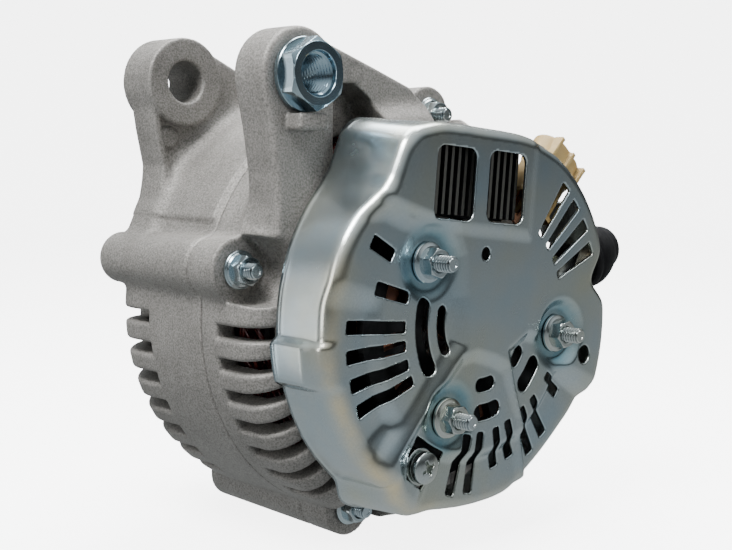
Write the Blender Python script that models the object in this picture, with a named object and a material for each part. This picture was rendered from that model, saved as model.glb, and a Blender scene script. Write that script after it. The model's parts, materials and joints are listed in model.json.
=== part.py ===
"""Car alternator, built as separate pieces around the rotor's axis.

The frame: the rotor turns about Y, the rear cover's flat face is the plane y = 0 and looks
towards -Y, the pulley is at +Y, X is to the right seen from the rear and Z is up.
All lengths below are in millimetres and become metres when a mesh is made.
"""
import math

import bmesh
import bpy
from mathutils import Matrix, Vector

MM = 0.001
GAP = 0.3                     # clearance that touching pieces keep
BARREL_STEPS = 40             # facets round the housings

# housings: turned castings that meet at the seam
SEAM_Y = 54.0
BODY_R = 67.0
BODY_BORE_R = 59.5
STATOR_SEAT_R = 60.8
REAR_END_Y = 27.0
REAR_WALL = 5.0
FRONT_END_Y = 103.0
FRONT_WALL = 5.0
HUB_FRONT_Y = 107.5
VENT_PITCH_DEG = 8.7
VENT_WIDTH_DEG = 4.4
REAR_VENT_Y = (26.0, 46.5)
FRONT_VENT_Y = (82.0, 104.5)
REAR_VENT_ROWS = ((181.3, 7), (268.5, 8), (36.8, 3))      # first angle and count of each row
FRONT_VENT_ROWS = ((180.7, 7), (267.9, 8), (1.4, 7))

# the four through bolts, M5, with their flange nuts at the rear
BOLT_CIRCLE_R = 64.8
BOLT_ANGLES = (165.0, 252.5, 343.0, 75.5)
BOLT_R = 2.5
BOLT_SEAT_Y = 41.0
BOLT_HEAD_Y = 105.0
BOLT_TIP_Y = 32.0
BOSS_REAR_R = 9.6
BOSS_SEAM_R = 9.2
BOSS_FRONT_R = 8.2
SPOT_FACE_R = 10.2
BOLT_CUP = (11.7, 42.8)        # radius and floor of the wall round each spot face, inside the barrel

# the two mounting ears and the M12 sleeve nut that slides in the rear one
EAR_X = -49.3
EAR_Z = 73.0
EAR_R = 14.0
REAR_EAR_Y = (27.6, 42.0)
REAR_PLATE_Y = (33.0, 47.0)
PLATE_CLEAR_X = -37.5          # left of this the web is no deeper than the lug
FRONT_EAR_Y = (84.6, 100.0)
FRONT_EAR_BOSS = (10.3, 104.5)  # radius and front face of the seat for the bolt's head
FRONT_WEB_Y = (88.0, 98.0)
FRONT_EAR_HOLE_R = 6.6
SLEEVE_R = 8.0
SLEEVE_BORE_R = 6.2
SLEEVE_HEX = 18.6
SLEEVE_FLANGE_R = 10.7
SLEEVE_END_Y = 20.0

# rear cover, pressed from sheet
COVER_R = 61.3
COVER_DEPTH = 25.0
COVER_SHEET = 1.2
COVER_BEND = 4.0
BULGE_RISE = 2.4               # pressed block on the left of the skirt
STUDS = ((-23.1, 19.0), (35.8, -7.4), (-14.5, -28.1))
STUD_R = 2.5
STUD_TIP_Y = -8.0
STUD_ROOT_Y = 31.0
POCKET_R = 8.6                 # round pressed pockets that the stud nuts sit in
POCKET_DEPTH = 3.0
SCREW_X = -25.6
SCREW_Z = -41.1
FLANGE_R = 6.2
NUT_HEX = 8.0

# rotor
SHAFT_TIP_Y = 139.0
REAR_JOURNAL_R = 6.0
ROTOR_JOURNAL_R = 9.0
FRONT_JOURNAL_R = 8.5
CLAW_R = 48.7
CLAW_COUNT = 6
CLAW_ENDS_Y = (47.0, 87.0)
CLAW_DISC = 10.0
PULLEY_R = 28.0
PULLEY_Y = (109.0, 131.0)
PULLEY_GROOVES = 5

# bearings
REAR_BEARING_Y = (28.5, 38.5)
REAR_BEARING_R = 16.0
FRONT_BEARING_Y = (92.0, 105.0)
FRONT_BEARING_R = 21.0
BALL_SHARE = 0.235             # ball radius as a share of the space between bore and outside
RETAINER_ANGLES = (30.0, 150.0, 270.0)
RETAINER_SCREW_CIRCLE_R = 23.6

# stator
STATOR_Y = (50.6, 80.0)
STATOR_R = 60.5
STATOR_BORE_R = 49.6
STATOR_SLOTS = 36
WINDING_R = (51.6, 58.6)
WINDING_ENDS_Y = (36.8, 92.0)

# slip rings and brushes: the brushes stand on the rings along +Z
RING_R = 8.0
RING_WIDTH = 5.0
RING_CENTRES_Y = (8.5, 15.5)
BRUSH_LENGTH = 8.0
BRUSH_HALF_X = 3.0
BRUSH_HALF_Y = 2.2
SPRING_TOP_Z = 26.0

# connector at the upper right and battery terminal at the right
CONNECTOR_ANGLE = 47.0
CONNECTOR_R = (36.0, 68.8)
CONNECTOR_Y = 12.0
TERMINAL_ANGLE = 13.0
TERMINAL_Y = 15.2
TERMINAL_R = (44.0, 74.0)
BOOT_R = 11.3


# ---------------------------------------------------------------- materials

def material(name, colour, roughness, metallic):
    """A Principled material of one colour."""
    mat = bpy.data.materials.new(name)
    mat.use_nodes = True
    shader = mat.node_tree.nodes["Principled BSDF"]
    shader.inputs["Base Color"].default_value = (*colour, 1.0)
    shader.inputs["Roughness"].default_value = roughness
    shader.inputs["Metallic"].default_value = metallic
    return mat


FINISHES = {
    "cast_aluminium": ((0.46, 0.45, 0.43), 0.6, 0.8),
    "zinc_sheet": ((0.66, 0.70, 0.72), 0.28, 1.0),
    "zinc_steel": ((0.62, 0.66, 0.68), 0.3, 1.0),
    "sleeve_zinc": ((0.66, 0.72, 0.74), 0.25, 1.0),
    "steel": ((0.55, 0.55, 0.56), 0.35, 1.0),
    "lamination": ((0.30, 0.30, 0.31), 0.5, 0.9),
    "rotor_iron": ((0.33, 0.32, 0.31), 0.5, 0.9),
    "copper_enamel": ((0.36, 0.07, 0.04), 0.35, 0.3),
    "copper": ((0.72, 0.38, 0.24), 0.3, 1.0),
    "carbon": ((0.06, 0.06, 0.06), 0.6, 0.2),
    "black_plastic": ((0.03, 0.03, 0.03), 0.45, 0.0),
    "brown_plastic": ((0.20, 0.10, 0.05), 0.5, 0.0),
    "tan_plastic": ((0.66, 0.50, 0.30), 0.5, 0.0),
    "black_rubber": ((0.02, 0.02, 0.02), 0.7, 0.0),
    "sink_aluminium": ((0.10, 0.10, 0.10), 0.5, 0.6),
    "pulley_steel": ((0.25, 0.25, 0.26), 0.4, 0.9),
}


# ---------------------------------------------------------------- mesh helpers

def clear_scene():
    for obj in list(bpy.data.objects):
        bpy.data.objects.remove(obj, do_unlink=True)


def mesh_object(name, verts, faces):
    """An object from points in millimetres, with its faces pointing out."""
    mesh = bpy.data.meshes.new(name)
    mesh.from_pydata([(x * MM, y * MM, z * MM) for x, y, z in verts], [], faces)
    bm = bmesh.new()
    bm.from_mesh(mesh)
    bmesh.ops.recalc_face_normals(bm, faces=bm.faces)
    bm.to_mesh(mesh)
    bm.free()
    obj = bpy.data.objects.new(name, mesh)
    bpy.context.scene.collection.objects.link(obj)
    return obj


def finish(obj, finish_name, smooth_deg=32.0):
    """Give a piece its material and smooth shading between its sharp edges."""
    obj.data.materials.clear()
    obj.data.materials.append(material(obj.name + "_material", *FINISHES[finish_name]))
    obj.data.shade_smooth()
    obj.data.set_sharp_from_angle(angle=math.radians(smooth_deg))
    return obj


def set_origin(obj, point):
    """Put a piece's origin on its joint's axis, at a point in millimetres."""
    offset = Vector(point) * MM
    obj.data.transform(Matrix.Translation(-offset))
    obj.location = offset


def polar(r, deg):
    """A point in the XZ plane at radius r and an angle from +X towards +Z."""
    a = math.radians(deg)
    return r * math.cos(a), r * math.sin(a)


def turned(name, profile, segments=32, centre=(0.0, 0.0), closed=False):
    """Turn a profile of (r, y) points about an axis parallel to Y through centre.

    An open profile starts and ends on the axis; a closed one is a ring's section.
    """
    cx, cz = centre
    verts, rings = [], []
    flat_start = profile[0][0] < 1e-6 and profile[0][1] == profile[1][1]
    flat_end = profile[-1][0] < 1e-6 and profile[-1][1] == profile[-2][1]
    for r, y in profile[1 if flat_start else 0:-1 if flat_end else None]:
        if r < 1e-6:
            rings.append([len(verts)])
            verts.append((cx, y, cz))
            continue
        rings.append([len(verts) + i for i in range(segments)])
        for i in range(segments):
            x, z = polar(r, 360.0 * i / segments)
            verts.append((cx + x, y, cz + z))
    pairs = list(zip(rings, rings[1:]))
    if closed:
        pairs.append((rings[-1], rings[0]))
    faces = [tuple(rings[0])] if flat_start else []
    if flat_end:
        faces.append(tuple(reversed(rings[-1])))
    for low, high in pairs:
        for i in range(segments):
            j = (i + 1) % segments
            if len(low) == 1:
                faces.append((low[0], high[i], high[j]))
            elif len(high) == 1:
                faces.append((low[j], low[i], high[0]))
            else:
                faces.append((low[i], high[i], high[j], low[j]))
    return mesh_object(name, verts, faces)


def ring(name, r0, r1, y0, y1, segments=32, centre=(0.0, 0.0)):
    """A plain ring between two radii and two levels."""
    return turned(name, [(r0, y0), (r1, y0), (r1, y1), (r0, y1)], segments, centre, closed=True)


def rod(name, r, y0, y1, segments=16, centre=(0.0, 0.0), r_end=None):
    """A solid cylinder, or a cone where r_end is given."""
    end = r if r_end is None else r_end
    return turned(name, [(0.0, y0), (r, y0), (end, y1), (0.0, y1)], segments, centre)


def loft(name, sections):
    """Join closed sections of equal point counts, and cap both ends."""
    count = len(sections[0])
    verts = [p for section in sections for p in section]
    faces = [tuple(range(count)), tuple(range(len(verts) - count, len(verts)))[::-1]]
    for k in range(len(sections) - 1):
        a = k * count
        b = a + count
        for i in range(count):
            j = (i + 1) % count
            faces.append((a + i, b + i, b + j, a + j))
    return mesh_object(name, verts, faces)


def prism(name, outline, y0, y1):
    """Extrude an outline of (x, z) points along Y."""
    return loft(name, [[(x, y, z) for x, z in outline] for y in (y0, y1)])


def box(name, low, high):
    outline = [(low[0], low[2]), (high[0], low[2]), (high[0], high[2]), (low[0], high[2])]
    return prism(name, outline, low[1], high[1])


def hexagon(across_flats, centre=(0.0, 0.0), turn=0.0):
    r = across_flats / math.sqrt(3.0)
    points = [polar(r, turn + 60.0 * i) for i in range(6)]
    return [(centre[0] + x, centre[1] + z) for x, z in points]


def sector(r0, r1, a0, a1, steps):
    """The outline of a ring's sector between two angles."""
    angles = [a0 + (a1 - a0) * i / steps for i in range(steps + 1)]
    return [polar(r1, a) for a in angles] + [polar(r0, a) for a in reversed(angles)]


def rounded(points, radius, steps=3):
    """Round each corner of an outline of (x, z) points with a curve."""
    out = []
    for i, p in enumerate(points):
        for n, q in enumerate((points[i - 1], points[(i + 1) % len(points)])):
            length = math.dist(p, q)
            t = min(radius / length, 0.45)
            end = (p[0] + (q[0] - p[0]) * t, p[1] + (q[1] - p[1]) * t)
            if n == 0:
                first = end
        for k in range(steps + 1):
            t = k / steps
            out.append(tuple(first[c] * (1 - t) ** 2 + 2 * p[c] * t * (1 - t) + end[c] * t * t
                             for c in (0, 1)))
    return out


def turn_about(points, centre, deg):
    """Turn an outline about a point in the XZ plane."""
    c, s = math.cos(math.radians(deg)), math.sin(math.radians(deg))
    return [(centre[0] + (x - centre[0]) * c - (z - centre[1]) * s,
             centre[1] + (x - centre[0]) * s + (z - centre[1]) * c) for x, z in points]


def boolean(obj, tools, operation):
    """Cut, join or intersect obj with the tools, which are then removed."""
    for tool in tools:
        mod = obj.modifiers.new("op", "BOOLEAN")
        mod.operation = operation
        mod.solver = "EXACT"
        mod.object = tool
        graph = bpy.context.evaluated_depsgraph_get()
        mesh = bpy.data.meshes.new_from_object(obj.evaluated_get(graph))
        obj.modifiers.clear()
        obj.data = mesh
        bpy.data.objects.remove(tool, do_unlink=True)
    return obj


def cut(obj, *tools):
    return boolean(obj, tools, "DIFFERENCE")


def join(obj, *tools):
    return boolean(obj, tools, "UNION")


# ---------------------------------------------------------------- housings

def bolt_centres():
    return [polar(BOLT_CIRCLE_R, a) for a in BOLT_ANGLES]


def vent_cutters(rows, levels):
    """Radial slots through the wall and round its corner, in rows between the bosses."""
    half = VENT_WIDTH_DEG / 2.0
    tools = []
    for start, count in rows:
        for i in range(count):
            mid = start + VENT_PITCH_DEG * i
            outline = sector(56.6, BODY_R + 4.0, mid - half, mid + half, 1)
            tools.append(prism("vent", outline, *levels))
    return tools


def ear_outline():
    """The rear ear's column: the lug, its left flank and its root inside the barrel."""
    lug = [(EAR_X + EAR_R * math.cos(math.radians(a)), EAR_Z + EAR_R * math.sin(math.radians(a)))
           for a in range(188, 19, -14)]
    root = [(-36.2, 64.0), (-36.0, 50.0), (-44.0, 36.0), (-52.0, 24.0), (-58.5, 27.0)]
    flank = [(-58.2, 36.0), (-58.6, 45.0), (-60.6, 58.0)]
    return lug + root + flank


def plate_outline():
    """The web that runs from the rear ear to the top boss."""
    return [(-58.0, 76.0), (-45.0, 86.0), (-37.9, 84.5), (-14.5, 76.4), (0.0, 71.2), (5.0, 68.0),
            (10.0, 58.0), (-20.0, 52.0), (-36.0, 42.0)]


def front_web_outline():
    """The front ear's web: its left flank swings out again to meet the left boss."""
    return [(-62.8, 75.0), (-56.0, 85.4), (-44.0, 86.0), (-30.0, 79.5), (-8.0, 69.0),
            (0.0, 60.0), (-40.0, 30.0), (-62.0, 17.0), (-66.0, 20.0), (-61.6, 29.0),
            (-58.4, 36.0), (-57.8, 46.6), (-60.2, 58.0)]


def arch_outline():
    """The opening between the rear ear and the barrel."""
    return rounded([(-36.2, 50.5), (-36.2, 68.0), (-28.0, 71.5), (-18.0, 67.0), (-14.6, 60.0),
                    (-15.0, 53.5), (-27.0, 48.6)], 3.5)


def bolt_cup(centre):
    """The wall that closes the barrel behind a spot face, kept inside the barrel."""
    cup = rod("bolt_cup", BOLT_CUP[0], REAR_END_Y + 3.0, BOLT_CUP[1], 18, centre)
    outside = [(62.0, 20.0), (90.0, 20.0), (90.0, 60.0), (62.0, 60.0)]
    return cut(cup, turned("outside", outside, BARREL_STEPS))


def make_rear_housing():
    """Rear casting: barrel, bosses, rear ear, web, bearing hub, vents and intake windows."""
    end, wall = REAR_END_Y, REAR_END_Y + REAR_WALL
    seam = SEAM_Y - GAP / 2
    outer = [(0.0, end - 2.0), (21.0, end - 2.0), (21.0, end), (57.5, end), (62.6, 29.4),
             (65.6, 34.5), (BODY_R, 41.0), (BODY_R, seam), (0.0, seam)]
    body = turned("rear_housing", outer, BARREL_STEPS)
    bosses = [rod("boss", BOSS_REAR_R, BOLT_SEAT_Y - 6.0, seam, 16, c, BOSS_SEAM_R)
              for c in bolt_centres()]
    ear = prism("ear", ear_outline(), *REAR_EAR_Y)
    plate = prism("plate", plate_outline(), *REAR_PLATE_Y)
    cut(plate, box("lug_clearance", (-70.0, REAR_EAR_Y[1], 48.0), (PLATE_CLEAR_X, 60.0, 95.0)))
    block = box("stop", (EAR_X - 6.0, 21.0, 57.0), (EAR_X + 4.8, 30.0, 62.0))
    pads = [rod("pad", 6.0, 24.0, wall, 12, c) for c in STUDS + ((SCREW_X, SCREW_Z),)]
    join(body, *bosses, ear, plate, block, *pads)
    cavity = [(0.0, 41.0), (21.0, 41.0), (21.0, wall), (55.5, wall), (BODY_BORE_R, 36.0),
              (BODY_BORE_R, 50.3), (STATOR_SEAT_R, 50.3), (STATOR_SEAT_R, 56.0), (0.0, 56.0)]
    seat_r, seat_y = REAR_BEARING_R + GAP, REAR_BEARING_Y[1] + GAP
    bearing = [(0.0, 20.0), (seat_r, 20.0), (seat_r, seat_y), (13.5, seat_y), (13.5, 43.0),
               (0.0, 43.0)]
    cut(body, turned("cavity", cavity, BARREL_STEPS))
    join(body, *[bolt_cup(c) for c in bolt_centres()])
    tools = [turned("bearing_bore", bearing, 24)]
    tools += [prism("arch", arch_outline(), 20.0, 44.0)]
    tools += [rod("spot_face", SPOT_FACE_R, 15.0, BOLT_SEAT_Y, 18, c) for c in bolt_centres()]
    tools += [rod("bolt_hole", BOLT_R + GAP, 30.0, 60.0, 10, c) for c in bolt_centres()]
    tools += [rod("stud_hole", STUD_R + GAP, 20.0, STUD_ROOT_Y + GAP, 10, c) for c in STUDS]
    tools += [rod("screw_hole", 2.0 + GAP, 20.0, STUD_ROOT_Y + GAP, 8, (SCREW_X, SCREW_Z))]
    tools += [rod("sleeve_hole", SLEEVE_R + GAP, 15.0, 60.0, 16, (EAR_X, EAR_Z))]
    tools += vent_cutters(REAR_VENT_ROWS, REAR_VENT_Y)
    tools += [prism("intake", sector(25.5, 46.0, a - 9.0, a + 9.0, 2), 20.0, wall + 0.5)
              for a in (22.0, 60.0, 98.0, 170.0, 205.0, 275.0)]
    return finish(cut(body, *tools), "cast_aluminium")


def make_front_housing():
    """Front casting: barrel, bosses, front ear and web, bearing hub, vents and windows."""
    seam = SEAM_Y + GAP / 2
    outer = [(0.0, seam), (BODY_R, seam), (BODY_R, 91.0), (65.4, 97.6), (61.8, 101.6),
             (56.0, FRONT_END_Y), (31.0, FRONT_END_Y), (28.0, HUB_FRONT_Y),
             (0.0, HUB_FRONT_Y)]
    body = turned("front_housing", outer, BARREL_STEPS)
    bosses = [rod("boss", BOSS_SEAM_R, seam, BOLT_HEAD_Y, 16, c, BOSS_FRONT_R)
              for c in bolt_centres()]
    lug = rod("lug", EAR_R, *FRONT_EAR_Y, 24, (EAR_X, EAR_Z))
    web = prism("web", front_web_outline(), *FRONT_WEB_Y)
    seat = rod("bolt_seat", FRONT_EAR_BOSS[0], FRONT_EAR_Y[1] - 4.0, FRONT_EAR_BOSS[1], 20, (EAR_X, EAR_Z))
    join(body, *bosses, lug, seat, web)
    wall = FRONT_END_Y - FRONT_WALL
    cavity = [(0.0, 50.0), (STATOR_SEAT_R, 50.0), (STATOR_SEAT_R, 80.3), (BODY_BORE_R, 80.3),
              (BODY_BORE_R, 93.0), (55.0, wall), (26.0, wall), (26.0, 92.0), (0.0, 92.0)]
    seat_r, seat_y = FRONT_BEARING_R + GAP, FRONT_BEARING_Y[1] + GAP
    bearing = [(0.0, 90.0), (seat_r, 90.0), (seat_r, seat_y), (13.5, seat_y), (13.5, 110.0),
               (0.0, 110.0)]
    tools = [turned("cavity", cavity, BARREL_STEPS), turned("bearing_bore", bearing, 24)]
    tools += [rod("bolt_hole", BOLT_R + GAP, 50.0, 110.0, 10, c) for c in bolt_centres()]
    tools += [rod("ear_hole", FRONT_EAR_HOLE_R, 80.0, 110.0, 16, (EAR_X, EAR_Z))]
    tools += [rod("retainer_hole", 1.7 + GAP, 85.0, 98.5, 8, polar(RETAINER_SCREW_CIRCLE_R, a))
              for a in RETAINER_ANGLES]
    tools += vent_cutters(FRONT_VENT_ROWS, FRONT_VENT_Y)
    tools += [prism("window", sector(34.5, 49.5, a - 10.0, a + 10.0, 2), 90.0, 106.0)
              for a in range(15, 360, 45)]
    return finish(cut(body, *tools), "cast_aluminium")


# ---------------------------------------------------------------- cover

def cover_outline(inset=0.0):
    """The cover's outline: a circle with a corner at the upper left, a bulge at the left,
    a flat bottom with a corner at the lower left, a cut-off lower right and a notch."""
    r = COVER_R
    points = [polar(r, a) for a in range(-24, 4, 9)]
    points += [(55.6, 4.5), (55.2, 10.5), polar(r, 17.0)]
    points += [polar(r, a) for a in (26.0, 35.0, 44.0)]
    points += [(35.0, 49.7), (29.9, 51.9), (20.1, 55.3), (10.0, 57.0), (0.0, 58.0), (-7.2, 58.8)]
    points += [(-14.0, 59.7), (-18.5, 60.4), (-29.0, 60.5), (-34.5, 59.0), (-37.2, 54.5), (-39.6, 48.5)]
    points += [polar(r, a) for a in (138.0, 147.0, 156.0, 165.0, 174.0, 180.3)]
    points += [polar(r + BULGE_RISE, a) for a in (183.0, 187.7, 192.5)]
    points += [polar(r, 195.5), polar(r, 203.0)]
    points += [polar(r, a) for a in (211.0, 217.0, 223.0, 229.0)]
    points += [(-38.4, -50.6), (-37.0, -53.9), (-32.5, -56.2), (-26.5, -57.6), (-17.0, -57.3)]
    points += [(-2.5, -58.1), (12.6, -57.8), (20.1, -55.3), (27.3, -51.3), (37.0, -44.8), (48.3, -35.6)]
    return shrink(points, inset)


def shrink(points, inset):
    """Move each point of an outline inwards along the bisector of its neighbours."""
    if not inset:
        return points
    out = []
    for i, (x, z) in enumerate(points):
        ax, az = points[i - 1]
        bx, bz = points[(i + 1) % len(points)]
        tx, tz = bx - ax, bz - az
        length = math.hypot(tx, tz)
        out.append((x - tz / length * inset, z + tx / length * inset))
    return out


def cover_shell(name, skin):
    """A closed dome of the cover's shape, skin millimetres inside its outer surface."""
    bend = COVER_BEND
    levels = [(0.0, COVER_DEPTH + (5.0 if skin else 0.0)), (0.0, bend), (0.35, bend * 0.55),
              (bend * 0.4, bend * 0.14), (bend, 0.0)]
    sections = []
    for inset, y in levels:
        level = max(y, skin) if skin else y
        sections.append([(x, level, z) for x, z in cover_outline(inset + skin)])
    if skin:
        sections[-1] = [(x, skin, z) for x, _, z in sections[-1]]
        sections[-2] = [(x, skin + 0.25, z) for x, _, z in sections[-2]]
    return loft(name, sections)


def slot_outline(r0, r1, a0, a1, width):
    """A slot from radius r0 at angle a0 to radius r1 at angle a1."""
    x0, z0 = polar(r0, a0)
    x1, z1 = polar(r1, a1)
    length = math.hypot(x1 - x0, z1 - z0)
    nx = -(z1 - z0) / length * width / 2
    nz = (x1 - x0) / length * width / 2
    return [(x0 - nx, z0 - nz), (x1 - nx, z1 - nz), (x1 + nx, z1 + nz), (x0 + nx, z0 + nz)]


COVER_SLOTS = (
    # inner radius, outer radius, inner angle, outer angle, width
    (32.2, 54.2, 178.4, 177.2, 4.0), (32.4, 54.4, 188.0, 186.3, 4.0),
    (32.6, 54.4, 197.8, 195.2, 4.1), (32.8, 54.4, 206.9, 203.8, 4.2),
    (32.4, 46.3, 163.6, 163.5, 4.0), (43.0, 53.0, 150.0, 150.0, 4.2),
    (36.0, 54.0, 260.4, 257.8, 3.8), (34.5, 53.6, 269.6, 266.5, 3.8),
    (34.8, 48.2, 281.2, 280.5, 3.8), (34.8, 48.2, 290.3, 289.4, 3.8),
    (35.0, 52.8, 303.1, 300.2, 3.8), (36.2, 52.4, 312.4, 309.2, 3.8),
    (37.0, 49.0, 326.6, 325.0, 3.4),
    (35.0, 55.1, 44.8, 46.5, 3.9), (35.2, 55.0, 36.1, 38.4, 3.9),
    (35.4, 55.4, 27.3, 29.7, 3.9), (35.6, 54.8, 19.0, 20.9, 3.9),
)
COVER_ARCS = (
    # inner radius, outer radius, first angle, last angle, steps
    (23.1, 28.7, 161.0, 212.0, 5), (16.0, 19.8, 161.5, 208.0, 4), (17.7, 22.1, 263.0, 286.5, 3),
    (25.8, 31.0, 264.5, 287.0, 3), (18.9, 23.1, 313.0, 331.0, 3), (26.6, 32.4, 308.0, 331.0, 3),
)
SCREW_OPENING = ((-31.5, -43.2), (-24.4, -48.3), (-15.9, -41.6), (-16.2, -38.6), (-27.6, -31.8),
                 (-30.9, -36.7))
WINDOWS = ((-14.8, 41.8), (7.7, 40.0))
WINDOW_SIZE = (17.2, 21.6)
WINDOW_TURN = -5.5
LOCATING_HOLE = (-0.5, 20.4)
SIGHT_HOLE = (48.0, -15.4)
FACE_CUT = (-2.0, 6.0)         # the levels between which every hole is cut in the cover's face


def window_outline(centre):
    w, h = WINDOW_SIZE[0] / 2, WINDOW_SIZE[1] / 2
    x, z = centre
    corners = [(x - w, z - h), (x + w, z - h), (x + w, z + h), (x - w, z + h)]
    return turn_about(rounded(corners, 3.0, 2), centre, WINDOW_TURN)


def make_rear_cover():
    cover = cut(cover_shell("rear_cover", 0.0), cover_shell("inside", COVER_SHEET))
    join(cover, *[rod("cup", POCKET_R + COVER_SHEET, 0.6, POCKET_DEPTH + COVER_SHEET, 20, c)
                  for c in STUDS])
    tools = [rod("pocket", POCKET_R, FACE_CUT[0], POCKET_DEPTH, 20, c) for c in STUDS]
    tools += [prism("slot", slot_outline(*s), *FACE_CUT) for s in COVER_SLOTS]
    tools += [prism("window", window_outline(c), *FACE_CUT) for c in WINDOWS]
    tools += [prism("arc", sector(*arc), *FACE_CUT) for arc in COVER_ARCS]
    tools += [rod("stud_hole", STUD_R + GAP, *FACE_CUT, 16, c) for c in STUDS]
    tools += [rod("locating_hole", 2.0, *FACE_CUT, 12, LOCATING_HOLE)]
    tools += [rod("sight_hole", 3.1, *FACE_CUT, 14, SIGHT_HOLE)]
    tools += [prism("screw_opening", rounded(SCREW_OPENING, 2.0, 1), *FACE_CUT)]
    tools += [radial_box("connector_opening", CONNECTOR_ANGLE, (50.0, 70.0), 11.8, (4.2, 30.0))]
    tools += [radial_box("terminal_opening", TERMINAL_ANGLE, (48.0, 70.0), 4.6, (9.0, 30.0))]
    return finish(cut(cover, *tools), "zinc_sheet")


# ---------------------------------------------------------------- fasteners

def flange_nut(name, centre, seat_y, turn, finish_name="zinc_steel"):
    """A hexagon flange nut whose flange rests at seat_y and which points towards -Y."""
    body = prism(name, hexagon(NUT_HEX, centre, turn), seat_y - 5.4, seat_y - 1.0)
    flange = rod("flange", FLANGE_R, seat_y - 1.3, seat_y, 14, centre)
    join(body, flange)
    cut(body, rod("hole", STUD_R + 0.2, seat_y - 8.0, seat_y + 2.0, 10, centre))
    return finish(body, finish_name)


def make_cover_fasteners():
    for i, centre in enumerate(STUDS, 1):
        profile = [(0.0, STUD_TIP_Y), (1.7, STUD_TIP_Y), (STUD_R, STUD_TIP_Y + 0.9),
                   (STUD_R, STUD_ROOT_Y), (0.0, STUD_ROOT_Y)]
        finish(turned(f"cover_stud_{i}", profile, 12, centre), "zinc_steel")
        flange_nut(f"cover_nut_{i}", centre, POCKET_DEPTH - GAP, 8.0 + 17.0 * i)


def make_rectifier_screw():
    """The cross-recess screw in the cover's cut-out, with its washer."""
    centre = (SCREW_X, SCREW_Z)
    profile = [(0.0, -1.2), (2.6, -1.0), (4.4, 0.2), (4.8, 1.6), (4.8, 2.4), (2.0, 2.4),
               (2.0, STUD_ROOT_Y), (0.0, STUD_ROOT_Y)]
    screw = turned("rectifier_screw", profile, 14, centre)
    arms = [(2.4, 0.45), (0.45, 2.4)]
    tools = [box("recess", (SCREW_X - w, FACE_CUT[0], SCREW_Z - h), (SCREW_X + w, 0.9, SCREW_Z + h))
             for w, h in arms]
    finish(cut(screw, *tools), "zinc_steel")
    finish(ring("screw_washer", 2.4, 5.6, 2.7, 3.9, 16, centre), "zinc_steel")


def make_through_bolts():
    for i, centre in enumerate(bolt_centres(), 1):
        bolt = turned(f"through_bolt_{i}", [
            (0.0, BOLT_TIP_Y), (1.7, BOLT_TIP_Y), (BOLT_R, BOLT_TIP_Y + 0.9),
            (BOLT_R, BOLT_HEAD_Y + 0.6), (0.0, BOLT_HEAD_Y + 0.6)], 10, centre)
        head = prism("head", hexagon(NUT_HEX, centre, 15.0), BOLT_HEAD_Y + GAP, BOLT_HEAD_Y + 4.0)
        finish(join(bolt, head), "zinc_steel")
        flange_nut(f"through_bolt_nut_{i}", centre, BOLT_SEAT_Y - GAP, 11.0 * i)


def make_sleeve_nut():
    """The M12 sleeve nut that slides in the rear ear, kept from turning by the stop block."""
    centre = (EAR_X, EAR_Z)
    body = prism("mount_sleeve_nut", hexagon(SLEEVE_HEX, centre, 0.0), SLEEVE_END_Y, 26.0)
    flange = rod("flange", SLEEVE_FLANGE_R, 25.4, REAR_EAR_Y[0] - GAP, 20, centre)
    tube = rod("tube", SLEEVE_R, 26.0, REAR_EAR_Y[1] - 1.0, 16, centre)
    join(body, flange, tube)
    cut(body, rod("bore", SLEEVE_BORE_R, 15.0, 50.0, 16, centre))
    set_origin(finish(body, "sleeve_zinc"), (EAR_X, SLEEVE_END_Y, EAR_Z))


# ---------------------------------------------------------------- stator

def make_stator():
    core = ring("stator_core", STATOR_BORE_R, STATOR_R, *STATOR_Y, STATOR_SLOTS)
    pitch = 360.0 / STATOR_SLOTS
    low, high = STATOR_Y
    slots = [prism("slot", sector(STATOR_BORE_R - 1.0, 57.6, pitch * (i + 0.5) - 2.1,
                                  pitch * (i + 0.5) + 2.1, 1), low - 1.0, high + 1.0)
             for i in range(STATOR_SLOTS)]
    finish(cut(core, *slots), "lamination")
    r0, r1 = WINDING_R
    ends = [ring("end", r0, r1, WINDING_ENDS_Y[0], low - GAP, 24),
            ring("end", r0, r1, high + GAP, WINDING_ENDS_Y[1], 24)]
    bars = [prism("bar", sector(r0 + 0.2, 57.2, pitch * (i + 0.5) - 1.6,
                                pitch * (i + 0.5) + 1.6, 1), low - 2.0, high + 2.0)
            for i in range(0, STATOR_SLOTS, 3)]
    winding = ends[0]
    winding.name = "stator_winding"
    join(winding, ends[1], *bars)
    cut(winding, *[rod("cup_clearance", BOLT_CUP[0] + 0.4, 30.0, BOLT_CUP[1] + 0.4, 18, c)
                   for c in bolt_centres()])
    finish(winding, "copper_enamel")


# ---------------------------------------------------------------- rotor

def claw(angle, root_y, tip_y):
    """One claw: a root on the disc, then a tapering finger under the stator's bore."""
    step = 1.0 if tip_y > root_y else -1.0
    stations = [(root_y, 34.0, CLAW_R - 1.2, 13.0), (root_y + step * 1.2, 34.0, CLAW_R, 13.0),
                (root_y + step * CLAW_DISC, 34.0, CLAW_R, 12.0),
                (root_y + step * (CLAW_DISC + 0.6), 42.2, CLAW_R, 11.8), (tip_y, 45.0, CLAW_R, 5.5)]
    sections = []
    for y, r0, r1, half in stations:
        outline = sector(r0, r1, angle - half, angle + half, 1)
        sections.append([(x, y, z) for x, z in outline])
    return loft("claw", sections)


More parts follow.
